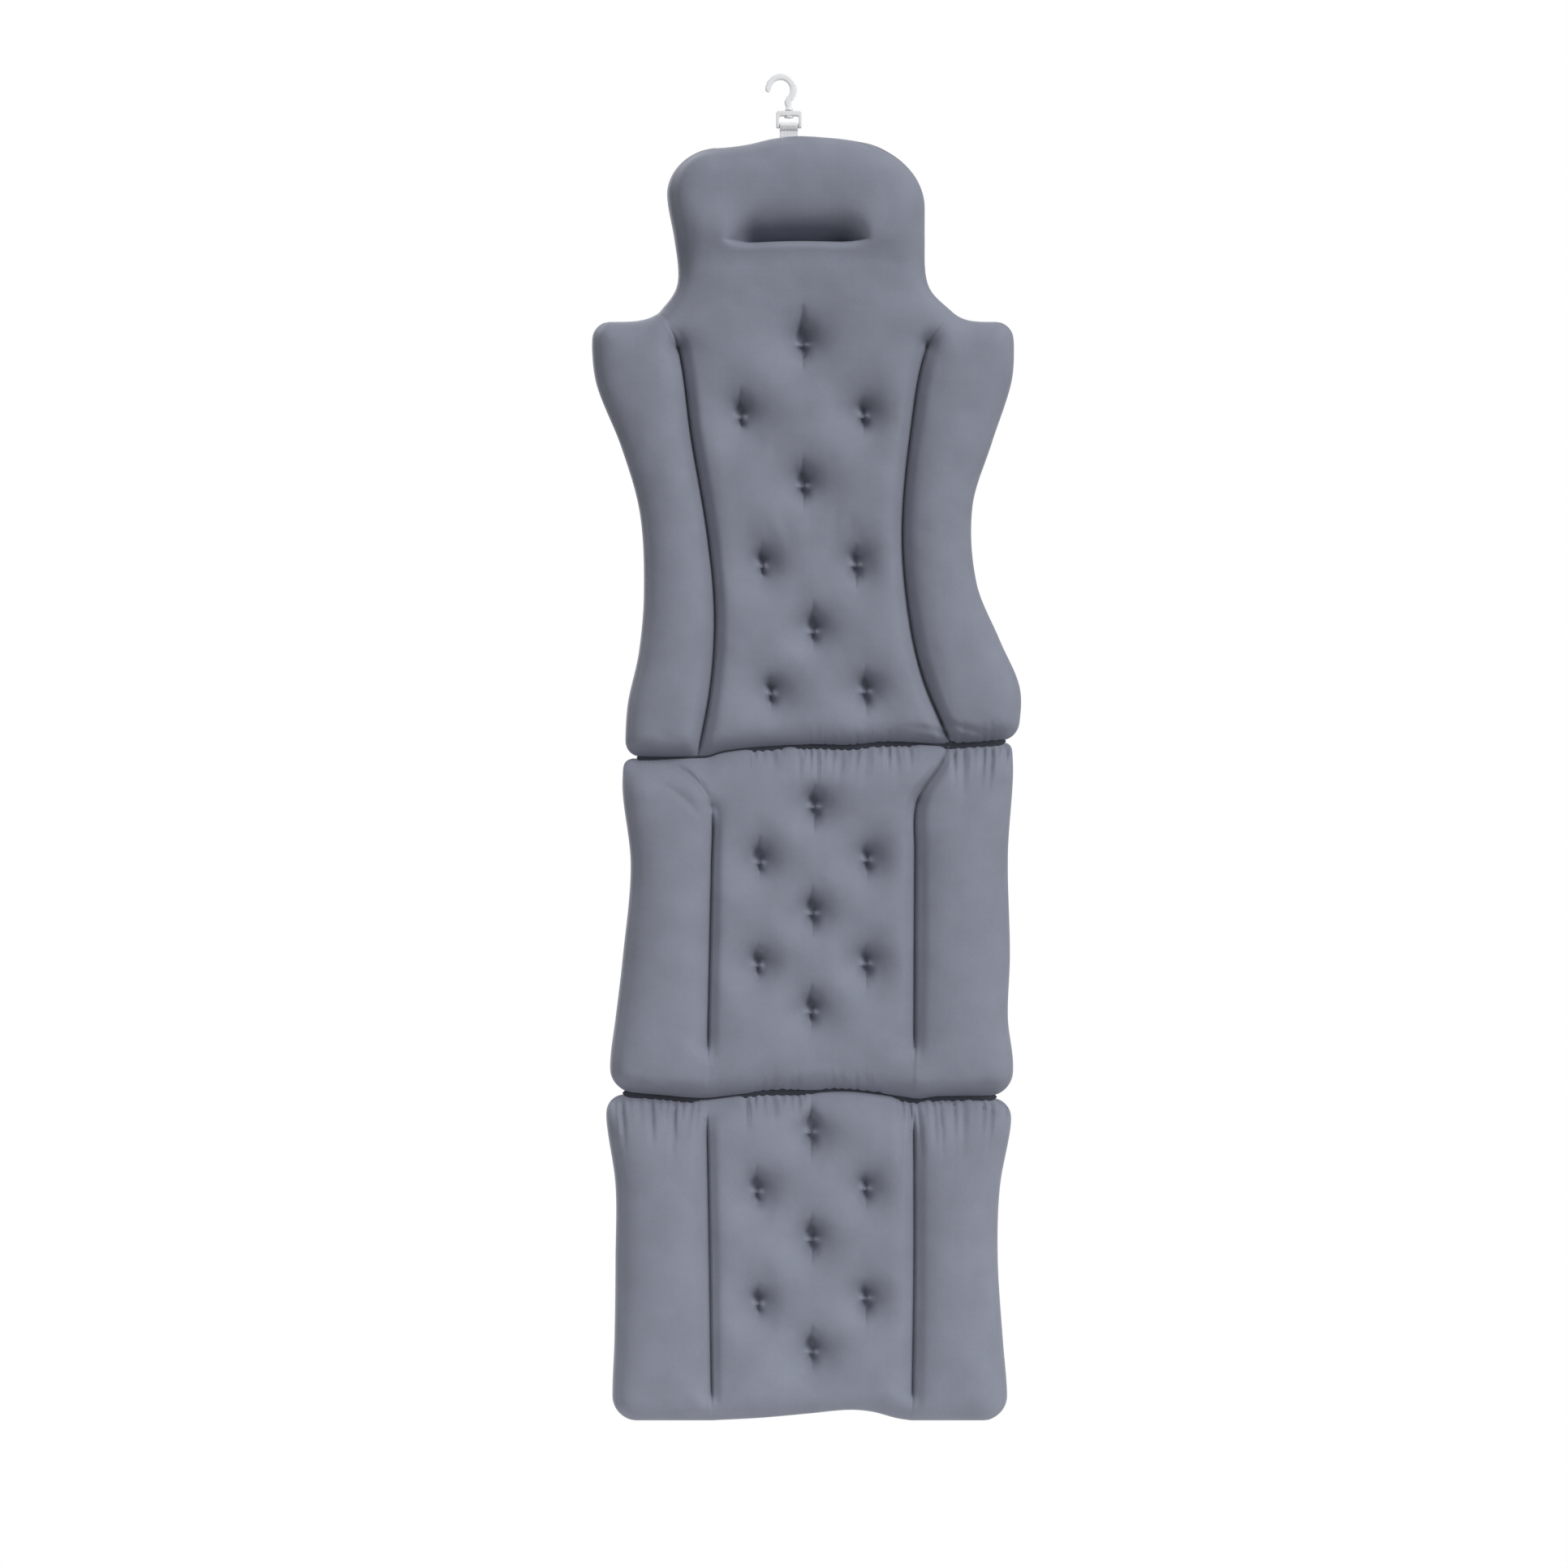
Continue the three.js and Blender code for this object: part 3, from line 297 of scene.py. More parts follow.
# Suction cups: a domed cup with a thin lip, a neck through the rear cloth and a button inside it
CUP_PLACES = {
    "back_panel": [(-60, -115.964), (90, -115.964), (-122.2, -318.2), (-92.1, -489.4), (165.1, -316.2),
                   (147.3, -484.3)],
    "seat_panel": [(-97.7, -752.4), (-104.5, -912.1), (166.2, -745.6), (165.6, -909.6)],
    "leg_panel": [(-105.2, -1092.4), (-104.1, -1232.1), (162.5, -1092.4), (162.8, -1232.1)],
}
CUP_SEAT = 14.15
CUP_PROFILE = [
    (0.0, -2.2), (3.0, -2.2), (3.0, 0.2), (7.4, 0.3), (8.3, 0.7), (9.2, 1.8), (12.5, 4.2), (16.2, 7.2),
    (19.2, 9.6), (19.9, 10.5), (19.6, 10.95), (18.6, 10.9), (15.5, 9.6), (10.5, 8.3), (5.0, 7.65), (0.0, 7.5),
]
CUP_SIDES = 56

# Hanger: hook, buckle and tape
STEM_OFFSET = 8.0
HOOK_RADIUS = 12.5
HOOK_INNER_RADIUS = 9.0
HOOK_START, HOOK_END = 192.0, -42.0
HOOK_BAND, HOOK_TIP_BAND, HOOK_THICKNESS = 7.0, 5.5, 4.0
HOOK_BOW_POINTS, HOOK_NECK_POINTS, HOOK_RING = 60, 20, 24
HOOK_TIP, HOOK_TIP_LEAST = 0.045, 0.03
HOOK_FOOT_FROM, HOOK_FOOT_SHARE, HOOK_FOOT_RISE = 0.85, 0.75, 1.3
HOOK_SQUARE = 0.6
BUCKLE_TOP, BUCKLE_BOTTOM = -30.364, -47.164
BUCKLE_HALF, BUCKLE_DEPTH = 12.6, 7.0
WINDOW_HALF, WINDOW_TOP = 9.6, BUCKLE_TOP - 5.0
TOP_CORNER, WINDOW_CORNER, FOOT_CORNER, FOOT_INSIDE = 2.5, 1.6, 1.6, 0.8
ARC_PULL, ARC_STEPS = 0.552, 8
BORE_RADIUS, BORE_SPARE, BORE_SIDES = 2.9, 2, 48
BEVEL_WIDTH, BEVEL_STEPS, BEVEL_ANGLE = 0.6, 3, 50
SHARP_ANGLE = 35
# Collars of the stem, with play above the buckle and below the window's top: radius, then up
STEM_PLAY, STEM_SIDES = 0.3, 40
UPPER_COLLAR = [(0, 2.3), (3.2, 2.2), (4.0, 1.7), (4.2, 1.2), (4.2, 0.3), (4.0, 0), (2.5, 0)]
LOWER_COLLAR = [(2.5, 0), (4.3, 0), (4.5, -0.3), (4.5, -1.2), (4.2, -1.6), (0, -1.6)]
BAR_LEVEL, BAR_RADIUS = -44.964, 2.2
BAR_HALF, BAR_SIDES = 10.5, 32
TAPE_WIDTH, TAPE_THICK, TAPE_LOOP = 18.0, 1.1, 3.2
TAPE_END = -64.0
TAPE_APART, TAPE_NECK = 0.05, 5.5
TAPE_TURN = (-40, 220)
TAPE_LEAVE, TAPE_ARRIVE = (0, 1.6), (0.9, -1.2)
TAPE_RISE_POINTS, TAPE_REAR_POINTS, TAPE_LOOP_POINTS, TAPE_RING = 10, 8, 40, 28
TAPE_SQUARE = 0.3

# Stage, lamps and world
WHITE = (1, 1, 1, 1)
AMBIENT_BELOW, AMBIENT_ABOVE = 0.09, 0.52
FLOOR_LEVEL = -1.56
FLOOR_RADIUS = 1.4
FLOOR_FADE = (0.22, 0.5)
FLOOR_SIDES = 96
LAMP_TARGET = (0.03, 0, -0.8)
LAMP_SIZE = 4.6
LAMPS = {"key": ((5.2, -7.2, 5.4), 905), "back": ((-5.0, 7.0, 4.6), 760)}
# Radians by which the wave texture turns in a metre, at scale 1
WAVE_TURN = 20


def smooth(value, low, high):
    t = np.clip((value - low) / (high - low), 0, 1)
    return t * t * (3 - 2 * t)


def stretch(value, begin, end, fade):
    """1 between two places, with a soft begin and end."""
    return smooth(value, begin - fade, begin + fade) * (1 - smooth(value, end - fade, end + fade))


def mix(a, b, t):
    return a + (b - a) * t


def curve(x, y, at):
    """Smooth line through the values y at the places x, read at other places along their first axis."""
    y = np.asarray(y, float)
    at = np.asarray(at, float)
    deep = (-1,) + (1,) * (y.ndim - 1)
    slope = np.empty(y.shape)
    slope[1:-1] = (y[2:] - y[:-2]) / (x[2:] - x[:-2]).reshape(deep)
    slope[0] = (y[1] - y[0]) / (x[1] - x[0])
    slope[-1] = (y[-1] - y[-2]) / (x[-1] - x[-2])
    end = np.clip(np.searchsorted(x, at), 1, len(x) - 1)
    span = x[end] - x[end - 1]
    t = (at - x[end - 1]) / span
    if y.ndim > 1:
        t, span = t.reshape(deep), span.reshape(deep)
    bend = mix(y[end - 1], y[end], t * t * (3 - 2 * t))
    leave = t * (1 - t) ** 2 * span * slope[end - 1]
    arrive = t * t * (1 - t) * span * slope[end]
    return bend + leave - arrive


def reach(stations, share, side):
    return curve(stations[:, 0], stations[:, side], share)


def both_reaches(stations, share):
    return [reach(stations, share, side) for side in (1, 2)]


def middle_and_half(reaches):
    left, right = reaches
    return (right - left) / 2, (left + right) / 2


def circle(count):
    """Angles of points spaced evenly round a circle."""
    return np.linspace(0, 2 * np.pi, count, endpoint=False)


def bezier(points, count):
    a, b, c, d = (np.array(p, float) for p in points)
    t = np.linspace(0, 1, count)[:, None]
    return (1 - t) ** 3 * a + 3 * t * (1 - t) ** 2 * b + 3 * t * t * (1 - t) * c + t ** 3 * d


def corner_inset(distance, radius):
    short = radius - np.clip(distance, 0, radius)
    return radius - np.sqrt(np.maximum(0, radius * radius - short * short))


def round_rise(distance, width):
    short = 1 - np.clip(distance / width, 0, 1)
    return np.sqrt(1 - short * short)


def fold_rise(distance, width):
    return np.sin(np.pi / 2 * np.clip(distance / width, 0, 1))


def half_gap(x):
    """Half the gap between two panels, wider between the bolsters than in the gathered middle."""
    return mix(CENTRE_GAP, BOLSTER_GAP, smooth(np.abs(x), *GAP_WIDENS)) / 2


def stray(stations, x):
    return reach(stations, np.clip(x, -STRAY_REACH, STRAY_REACH), 1)


def upper_line(x):
    return UPPER_FOLD + UPPER_SLOPE * x + stray(UPPER_STRAY, x)


def lower_line(x):
    return LOWER_FOLD + stray(LOWER_STRAY, x)


def hem_line(x):
    return HEM + reach(HEM_LIFT, np.clip(x / LEG_CHANNEL[-1, 1], -1, 1), 1)


def shoulder_line(outward):
    bend = 1 - (1 - np.clip(outward, 0, 1)) ** SHOULDER_BEND
    return SHOULDER - SHOULDER_DROP * np.where(outward > 0, bend, outward)


# Panels below the neck; outward is -1 to 0 in the centre and 0 to 1 in a bolster
TORSO = {
    "length": TORSO_LENGTH, "edge": TORSO_EDGE, "channel": TORSO_CHANNEL, "corners": (16.0, 16.0),
    "sewn": [(0.07, PAST_BOTTOM)] * 2, "groove": -1.0, "folds": (False, True), "head": True,
    "tufts": TORSO_TUFTS, "pits": BACK_PITS, "wrinkles": BACK_WRINKLES,
    "gathers": [(upper_line, BACK_BOTTOM_GATHERS)],
    "top": lambda outward, x: shoulder_line(outward),
    "bottom": lambda outward, x: upper_line(x) + half_gap(x),
}
SEAT = {
    "length": SEAT_LENGTH, "edge": SEAT_EDGE, "channel": SEAT_CHANNEL, "corners": (9.0, 23.0),
    "sewn": [(0.17, 0.86), (BEFORE_TOP, 0.86)], "groove": 4.0, "folds": (True, True), "head": False,
    "tufts": SEAT_TUFTS, "pits": SEAT_PITS, "wrinkles": SEAT_WRINKLES,
    "gathers": [(upper_line, SEAT_TOP_GATHERS), (lower_line, SEAT_BOTTOM_GATHERS)],
    "top": lambda outward, x: upper_line(x) - half_gap(x),
    "bottom": lambda outward, x: lower_line(x) + half_gap(x),
}
LEGS = {
    "length": LEG_LENGTH, "edge": LEG_EDGE, "channel": LEG_CHANNEL, "corners": (17.0, 24.0),
    "sewn": [(0.06, 0.93)] * 2, "groove": 6.0, "folds": (True, False), "head": False,
    "tufts": LEG_TUFTS, "pits": LEG_PITS, "wrinkles": LEG_WRINKLES,
    "gathers": [(lower_line, LEG_TOP_GATHERS)],
    "top": lambda outward, x: lower_line(x) - half_gap(x),
    "bottom": lambda outward, x: hem_line(x),
}


def both_sides(half):
    return np.concatenate([-half[:0:-1], half])


def fine_columns():
    """Columns from the centre's left seam, -1, to its right seam, 1, close together at tufts and seams."""
    inner = np.concatenate([CLOSE_COLUMNS, [TUFT_SPREAD / 2], TUFT_SPREAD - CLOSE_COLUMNS[::-1]])
    outer = np.concatenate([TUFT_SPREAD + CLOSE_COLUMNS[1:], SEAM_COLUMNS])
    return both_sides(np.concatenate([inner, outer]))


def even_columns():
    inner = np.linspace(0, TUFT_SPREAD, EVEN_COLUMNS)
    outer = np.linspace(TUFT_SPREAD, 1, EVEN_COLUMNS)[1:]
    return both_sides(np.concatenate([inner, outer]))


def across_centre(panel, share, columns):
    """The columns shifted row by row so that they run through the tufts."""
    pairs = [(row, places) for row, places, _ in panel["tufts"] if len(places) == 2]
    rows = [row for row, _ in pairs]
    left, right = (np.interp(share, rows, [abs(places[side]) for _, places in pairs]) for side in (0, 1))
    size = np.abs(columns)
    spread = np.where(columns < 0, left, right)
    beyond = spread + (size - TUFT_SPREAD) * (1 - spread) / (1 - TUFT_SPREAD)
    return np.sign(columns) * np.where(size < TUFT_SPREAD, size * spread / TUFT_SPREAD, beyond)


def bolster_depths(count, ease):
    """Places across a bolster, 0 at its outer edge and nearly 1 at the channel."""
    even = np.arange(count) / count
    eased = (1 - np.cos(np.pi * even)) / 2
    return mix(even, eased, ease)


# The cloth is swelled on an even net, and its swelling is carried to a fine one
EVEN = {
    "centre": even_columns(), "depths": bolster_depths(*EVEN_BOLSTER), "ends": [0.0],
    "beside": [-TUFT_SEWN / 2, 0.0, TUFT_SEWN / 2], "head": [0, SLOT_DROP, HEAD_LENGTH],
}
FINE = {
    "centre": fine_columns(), "depths": bolster_depths(*FINE_BOLSTER), "ends": END_ROWS, "beside": TUFT_ROWS,
    "head": [*HEAD_END_ROWS, *(SLOT_DROP + d for d in SLOT_ROWS), HEAD_LENGTH],
}


def spread_rows(fixed):
    """Fixed distances with even rows between them."""
    rows = []
    for start, stop in zip(fixed[:-1], fixed[1:]):
        count = max(1, round((stop - start) / ROW_STEP))
        rows += [mix(start, stop, k / count) for k in range(count)]
    return np.array(rows + [fixed[-1]])


def panel_rows(panel, plan):
    length, ends = panel["length"], plan["ends"]
    tufts = [share * length + d for share, _, _ in panel["tufts"] for d in plan["beside"]]
    return spread_rows(sorted(ends + tufts + [length - d for d in ends]))


# Nets of the covers: places, and what is sewn where
def cut_width(x, slack):
    """Places across the cloth as cut, with its slack added up from the middle column."""
    steps = np.diff(x, axis=1) * (slack[1:] + slack[:-1]) / 2
    across = np.concatenate([np.zeros((len(x), 1)), np.cumsum(steps, 1)], 1)
    middle = x.shape[1] // 2
    return across - across[:, middle:middle + 1] + x[:, middle:middle + 1]


def panel_level(panel, outward, x, share):
    return mix(panel["top"](outward, x), panel["bottom"](outward, x), share)


def panel_grid(panel, plan):
    """Places of a panel's net: rows down the panel, columns from its left edge to its right."""
    length, bolster = panel["length"], plan["depths"]
    from_top = panel_rows(panel, plan)[:, None]
    from_ends = from_top, length - from_top
    share = from_top / length
    inset = sum(corner_inset(d, r) for d, r in zip(from_ends, panel["corners"]))
    edges = [edge - inset for edge in both_reaches(panel["edge"], share)]
    channels = both_reaches(panel["channel"], share)
    middle, half = middle_and_half(channels)
    widths = [edges[side] - channels[side] for side in (0, 1)]
    depths = [bolster * widths[0], bolster[::-1] * widths[1]]
    centre = across_centre(panel, share, plan["centre"])
    x = np.hstack([depths[0] - edges[0], middle + centre * half, edges[1] - depths[1]])
    beside = np.broadcast_to(1 - bolster, (len(x), len(bolster)))
    outward = np.hstack([beside, np.abs(centre) - 1, beside[:, ::-1]])
    channel = np.hstack([widths[0] - depths[0], half * (1 - np.abs(centre)), widths[1] - depths[1]])
    from_fold, rise = FAR, 1.0
    for folds, distance, width in zip(panel["folds"], from_ends, (RISE_BELOW_FOLD, RISE_ABOVE_FOLD)):
        if folds:
            from_fold = np.minimum(from_fold, distance)
            rise = rise * fold_rise(distance, width)
    line = np.zeros(x.shape, int)
    on_left = np.arange(x.shape[1]) < x.shape[1] // 2
    sewn = np.where(on_left, *(stretch(share, *ends, SEWN_FADE) for ends in panel["sewn"]))
    for column, mark in ((len(bolster), LEFT_LINE), (-len(bolster) - 1, RIGHT_LINE)):
        line[:, column] = np.where(sewn[:, column] > 0.5, mark, 0)
    return {
        "x": x, "z": panel_level(panel, outward, x, share), "channel": channel, "sewn": sewn,
        "groove": panel["groove"], "from_fold": from_fold, "rise": rise, "line": line,
        "crown": np.where(outward > 0, BOLSTER_CROWN, CENTRE_CROWN), "round": EDGE_ROUND,
        "slot": 0.0, "held": 0.0,
        "cut": cut_width(x, np.where(outward[0] > 0, BOLSTER_SLACK, CENTRE_SLACK)),
    }


def head_grid(plan):
    from_top = spread_rows(plan["head"])[:, None]
    share = from_top / HEAD_LENGTH
    insets = [corner_inset(from_top, radius) for radius in HEAD_CORNERS]
    edges = [edge - inset for edge, inset in zip(both_reaches(HEAD_EDGE, share), insets)]
    middle, half = middle_and_half(edges)
    centre = across_centre(TORSO, 0.0, plan["centre"])
    x = middle + centre * half
    bow = reach(HEAD_CREST, np.clip(x, *HEAD_CREST[[0, -1], 0]), 1) * (1 - share) ** 2
    z = HEAD_TOP - from_top + bow + SHOULDER_DROP * smooth(share, 0.5, 1) * (1 - np.abs(centre))
    from_slot = from_top - SLOT_DROP
    aside = np.abs(x - SLOT_MIDDLE)
    below = smooth(from_slot, -NECK_ABOVE, NECK_BELOW)
    inside = 1 - smooth(aside, SLOT_FLAT / 2, SLOT_LENGTH / 2)
    roll = 1 - (1 - np.clip(-from_slot / SLOT_ROLL, 0, 1)) ** SLOT_BEND
    shut = 1 - np.where(from_slot < 0, roll, round_rise(from_slot, SLOT_LIP))
    sewn = (np.abs(from_slot) < SLOT_BESIDE) & (inside > SLOT_SEWN_FROM)
    beyond = np.maximum(0, aside - SLOT_LENGTH / 2)
    return {
        "x": x, "z": z, "channel": FAR, "sewn": 0.0, "groove": 0.0, "from_fold": FAR, "rise": 1.0,
        "line": HEAD_LINE * sewn, "crown": mix(HEAD_CROWN, CENTRE_CROWN, below),
        "round": mix(HEAD_ROUND, EDGE_ROUND, below), "slot": shut * inside,
        "held": np.exp(-(from_slot / SLOT_HELD) ** 2 - (beyond / SLOT_FREE) ** 2),
        "cut": cut_width(x, np.full(x.shape[1], CENTRE_SLACK)),
    }


def quads_of(index):
    return np.stack([index[:-1, :-1], index[1:, :-1], index[1:, 1:], index[:-1, 1:]], -1).reshape(-1, 4)


def flat_net(panel, plan):
    """A panel's net as lists of points, with the head's net sewn to the middle of the torso's top row."""
    grid = panel_grid(panel, plan)
    shape = grid["x"].shape
    index = np.arange(grid["x"].size).reshape(shape)
    net = {name: np.broadcast_to(value, shape).flatten() for name, value in grid.items()}
    net["quads"] = quads_of(index)
    if panel["head"]:
        grid = head_grid(plan)
        shape = grid["x"].shape
        side = len(plan["depths"])
        above = index.size + np.arange(grid["x"].size - shape[1]).reshape(-1, shape[1])
        for name, value in grid.items():
            net[name] = np.append(net[name], np.broadcast_to(value, shape)[:-1])
        net["quads"] = np.vstack([net["quads"], quads_of(np.vstack([above, index[0, side:-side]]))])
    return net


def cell_edges(quads):
    return np.vstack([quads[:, [k, (k + 1) % 4]] for k in range(4)])


def rim_edges(quads):
    """Edges that only one cell uses."""
    unique, used = np.unique(np.sort(cell_edges(quads), 1), axis=0, return_counts=True)
    return unique[used == 1]


def free_distance(net, edges):
    """Distance of each point from the nearest edge that isn't sewn to another panel."""
    free = edges[(net["from_fold"][edges] > 0).any(1)]
    places = np.stack([net["x"], net["z"]], 1)
    steps = np.linspace(0, 1, RIM_STEPS)[:, None, None]
    rim = mix(places[free[:, 0]], places[free[:, 1]], steps).reshape(-1, 2)
    return np.array([np.sqrt(((rim - place) ** 2).sum(1).min()) for place in places])


def tuft_places(panel):
    """Each tuft: right of the pad's centre line, up from the origin, and its creases up and down."""
    places = []
    for share, columns, long in panel["tufts"]:
        middle, half = middle_and_half(both_reaches(panel["channel"], np.array(share)))
        for column in columns:
            x = np.array(middle + column * half)
            outward = np.array(abs(column) - 1)
            z = panel_level(panel, outward, x, share)
            turn = CREASE_TURN * len(places)
            up = CREASE_UP * long * (1 + CREASE_UP_VARIES * math.sin(turn))
            down = CREASE_DOWN * (1 + CREASE_DOWN_VARIES * math.cos(turn))
            places.append((float(x), float(z), up, down))
    return places


def tuft_near(net, place):
    """1 at a tuft, falling off in a round dent and faster across its upright creases."""
    x, z, up, down = place
    dx, dz = net["x"] - x, net["z"] - z
    along = dz / np.where(dz > 0, up, down)
    crease = np.exp(-(np.abs(dx) / CREASE_WIDTH) ** CREASE_FALL) * np.clip(1 - along ** 2, 0, 1) ** 2
    hollow = np.exp(-(dx * dx + dz * dz) / TUFT_REACH ** 2)
    return np.maximum(crease, TUFT_SHARE * hollow)


def pin_tufts(net, places):
    """Sews the cloth down along each tuft, and marks its column as a sharp line."""
    for number, (x, z, _, _) in enumerate(places):
        near = np.flatnonzero(np.abs(net["z"] - z) <= TUFT_SEWN / 2)
        net["line"][near[np.abs(net["x"][near] - x) < TUFT_BESIDE]] = TUFT_LINE + number


def set_heights(net, places):
    rise = round_rise(net["channel"], CHANNEL_REACH)
    shared = (BOLSTER_CROWN + CENTRE_CROWN) / 2
    crown = mix(np.where(net["channel"] < FAR / 2, shared, net["crown"]), net["crown"], rise)
    level = mix(crown, net["groove"], net["sewn"] * (1 - rise)) * net["rise"]
    level = level * round_rise(net["free"], net["round"])
    start = mix(level, np.minimum(level, SLOT_HEIGHT), net["slot"])
    rear = mix(REAR_DEPTH, REAR_CHANNEL, net["sewn"] * (1 - smooth(net["channel"], 0, REAR_CHANNEL_REACH)))
    rear = rear * fold_rise(net["from_fold"], REAR_FOLD_RISE) * round_rise(net["free"], REAR_BEVEL)
    for place in places:
        near = tuft_near(net, place)
        start = mix(start, np.minimum(start, TUFT_HEIGHT), near)
        rear = rear - np.minimum(rear, REAR_TUFT_DIP) * near
    net["start"] = start
    net["rear"] = rear


def finished_net(panel, plan):
    net = flat_net(panel, plan)
    edges = rim_edges(net["quads"])
    net["rim"] = np.zeros(len(net["x"]), bool)
    net["rim"][edges.ravel()] = True
    net["free"] = free_distance(net, edges)
    places = tuft_places(panel)
    pin_tufts(net, places)
    net["fixed"] = (net["line"] > 0) | net["rim"]
    set_heights(net, places)
    return net


# Meshes
def new_object(name, points, faces):
    mesh = bpy.data.meshes.new(name)
    mesh.from_pydata([tuple(p) for p in points], [], [tuple(int(i) for i in f) for f in faces])
    mesh.update()
    obj = bpy.data.objects.new(name, mesh)
    bpy.context.collection.objects.link(obj)
    return obj


def read(items, name, kind, width=1):
    """One property of all vertices, edges, corners or faces of a mesh."""
    values = np.empty(len(items) * width, kind)
    items.foreach_get(name, values)
    return values.reshape(-1, width) if width > 1 else values


def mesh_points(mesh):
    return read(mesh.vertices, "co", np.float32, 3)


def front_points(mesh):
    """Which points the front cloth uses."""
    loops = read(mesh.loops, "vertex_index", np.int32)
    kind = read(mesh.polygons, "material_index", np.int32)
    sides = read(mesh.polygons, "loop_total", np.int32)
    used = np.zeros(len(mesh.vertices), bool)
    used[loops[np.repeat(kind, sides) == 0]] = True
    return used


def baked(obj):
    """The object with its modifiers applied."""
    evaluated = obj.evaluated_get(bpy.context.evaluated_depsgraph_get())
    mesh = bpy.data.meshes.new_from_object(evaluated)
    obj.modifiers.clear()
    old = obj.data
    obj.data = mesh
    mesh.name = obj.name
    bpy.data.meshes.remove(old)
    return obj


def swept(rings):
    """Points and faces of rings of points joined one to the next and closed at both ends."""
    index = np.arange(rings.size // 3).reshape(rings.shape[:2])
    after = np.roll(index, -1, 1)
    faces = np.stack([index[:-1], after[:-1], after[1:], index[1:]], -1).reshape(-1, 4).tolist()
    return rings.reshape(-1, 3), faces + [index[0, ::-1].tolist(), index[-1].tolist()]


def joined(name, parts):
    """One object from several sets of points and faces."""
    points, faces, count = [], [], 0
    for part_points, part_faces in parts:
        points.append(part_points)
        faces += [[count + i for i in face] for face in part_faces]
        count += len(part_points)
    obj = new_object(name, np.vstack(points), faces)
    obj.data.shade_smooth()
    return obj


def weld(obj):
    """The object with points that lie together made one and all faces turned outwards."""
    net = bmesh.new()
    net.from_mesh(obj.data)
    bmesh.ops.remove_doubles(net, verts=net.verts, dist=WELD_DISTANCE * MM)
    bmesh.ops.recalc_face_normals(net, faces=net.faces)
    net.to_mesh(obj.data)
    net.free()
    obj.data.shade_smooth()
    return obj


# Cloth
def net_points(net, heights, sign):
    return np.stack([net["x"] + PAD_OFFSET, sign * heights, net["z"]], 1) * MM


def slack_points(net):
    """Cloth as cut: wider and longer than the place that it is sewn into."""
    points = net_points(net, net["start"], -1)
    points[:, 0] = net["cut"] * MM
    points[:, 2] *= SLACK_DOWN
    return points


def set_cloth(obj, key):
    cloth = obj.modifiers.new("cloth", "CLOTH")
    cloth.settings.vertex_group_mass = "sewn"
    cloth.settings.rest_shape_key = key
    for name, value in CLOTH.items():
        setattr(cloth.settings, name, value)
    cloth.settings.effector_weights.gravity = 0
    cloth.point_cache.frame_start = 1
    cloth.point_cache.frame_end = CLOTH_FRAMES


def swelling(net, name):
    """How far cloth simulation moves each point of a net where it isn't sewn, in metres."""
    heights = np.where(net["fixed"], net["start"], net["start"] * START_SHARE)
    start = net_points(net, heights, -1)
    obj = new_object(name + "_cloth", start, net["quads"])
    obj.shape_key_add(name="sewn")
    key = obj.shape_key_add(name="cut")
    key.data.foreach_set("co", slack_points(net).astype(np.float32).ravel())
    group = obj.vertex_groups.new(name="sewn")
    group.add([int(i) for i in np.flatnonzero(net["fixed"])], 1.0, "REPLACE")
    set_cloth(obj, key)
    scene = bpy.context.scene
    for step in range(1, CLOTH_FRAMES + 1):
        scene.frame_set(step)
    evaluated = obj.evaluated_get(bpy.context.evaluated_depsgraph_get())
    moved = mesh_points(evaluated.data) - start
    bpy.data.objects.remove(obj)
    scene.frame_set(1)
    length = np.linalg.norm(moved, axis=1, keepdims=True)
    cap = CLOTH_CAP * MM
    moved = moved * np.minimum(1, cap * np.tanh(length / cap) / np.maximum(length, TINY))
    return relaxed(net, start + moved) - net_points(net, net["start"], -1)


def relaxed(net, points):
    """Points eased towards their neighbours, apart from those that are sewn."""
    pairs = cell_edges(net["quads"])
    pairs = np.vstack([pairs, pairs[:, ::-1]])
    number = np.bincount(pairs[:, 0], minlength=len(points))[:, None]
    for _ in range(EASE_STEPS):
        total = np.zeros_like(points)
        np.add.at(total, pairs[:, 0], points[pairs[:, 1]])
        points = np.where(net["fixed"][:, None], points, mix(points, total / number, EASE_SHARE))
    return points


def block_places(panel, plan):
    """Row and column places of a net's blocks: left bolster, centre with head, right bolster."""
    rows, depths = panel_rows(panel, plan), np.append(plan["depths"], 1)
    levels = rows
    if panel["head"]:
        levels = np.append(spread_rows(plan["head"])[:-1] - HEAD_LENGTH, rows)
    return [(rows, depths), (levels, plan["centre"]), (rows, 1 - depths[::-1])]


def carried(panel, field):
    """Values of the even net, read on the fine net in the order of its points."""
    side, centre = len(EVEN["depths"]), len(EVEN["centre"])
    count = len(panel_rows(panel, EVEN)) * (2 * side + centre)
    body = field[:count].reshape(-1, 2 * side + centre, 3)
    head = field[count:].reshape(-1, centre, 3)
    blocks = [body[:, :side + 1], np.concatenate([head, body[:, side:-side]]), body[:, -side - 1:]]
    for number, (even, fine) in enumerate(zip(block_places(panel, EVEN), block_places(panel, FINE))):
        down = curve(even[0], blocks[number], fine[0]).transpose(1, 0, 2)
        blocks[number] = curve(even[1], down, fine[1]).transpose(1, 0, 2)
    left, middle, right = blocks
    extra = len(middle) - len(left)
    body = np.concatenate([left[:, :-1], middle[extra:], right[:, 1:]], 1)
    return np.vstack([body.reshape(-1, 3), middle[:extra].reshape(-1, 3)])


def blown(panel, net, name):
    """Front of the fine net with the swelling of the even one, in metres."""
    front = net_points(net, net["start"], -1)
    moved = carried(panel, swelling(finished_net(panel, EVEN), name))
    moved = moved * (1 - net["held"])[:, None]
    return front + np.where(net["fixed"][:, None], 0, moved)


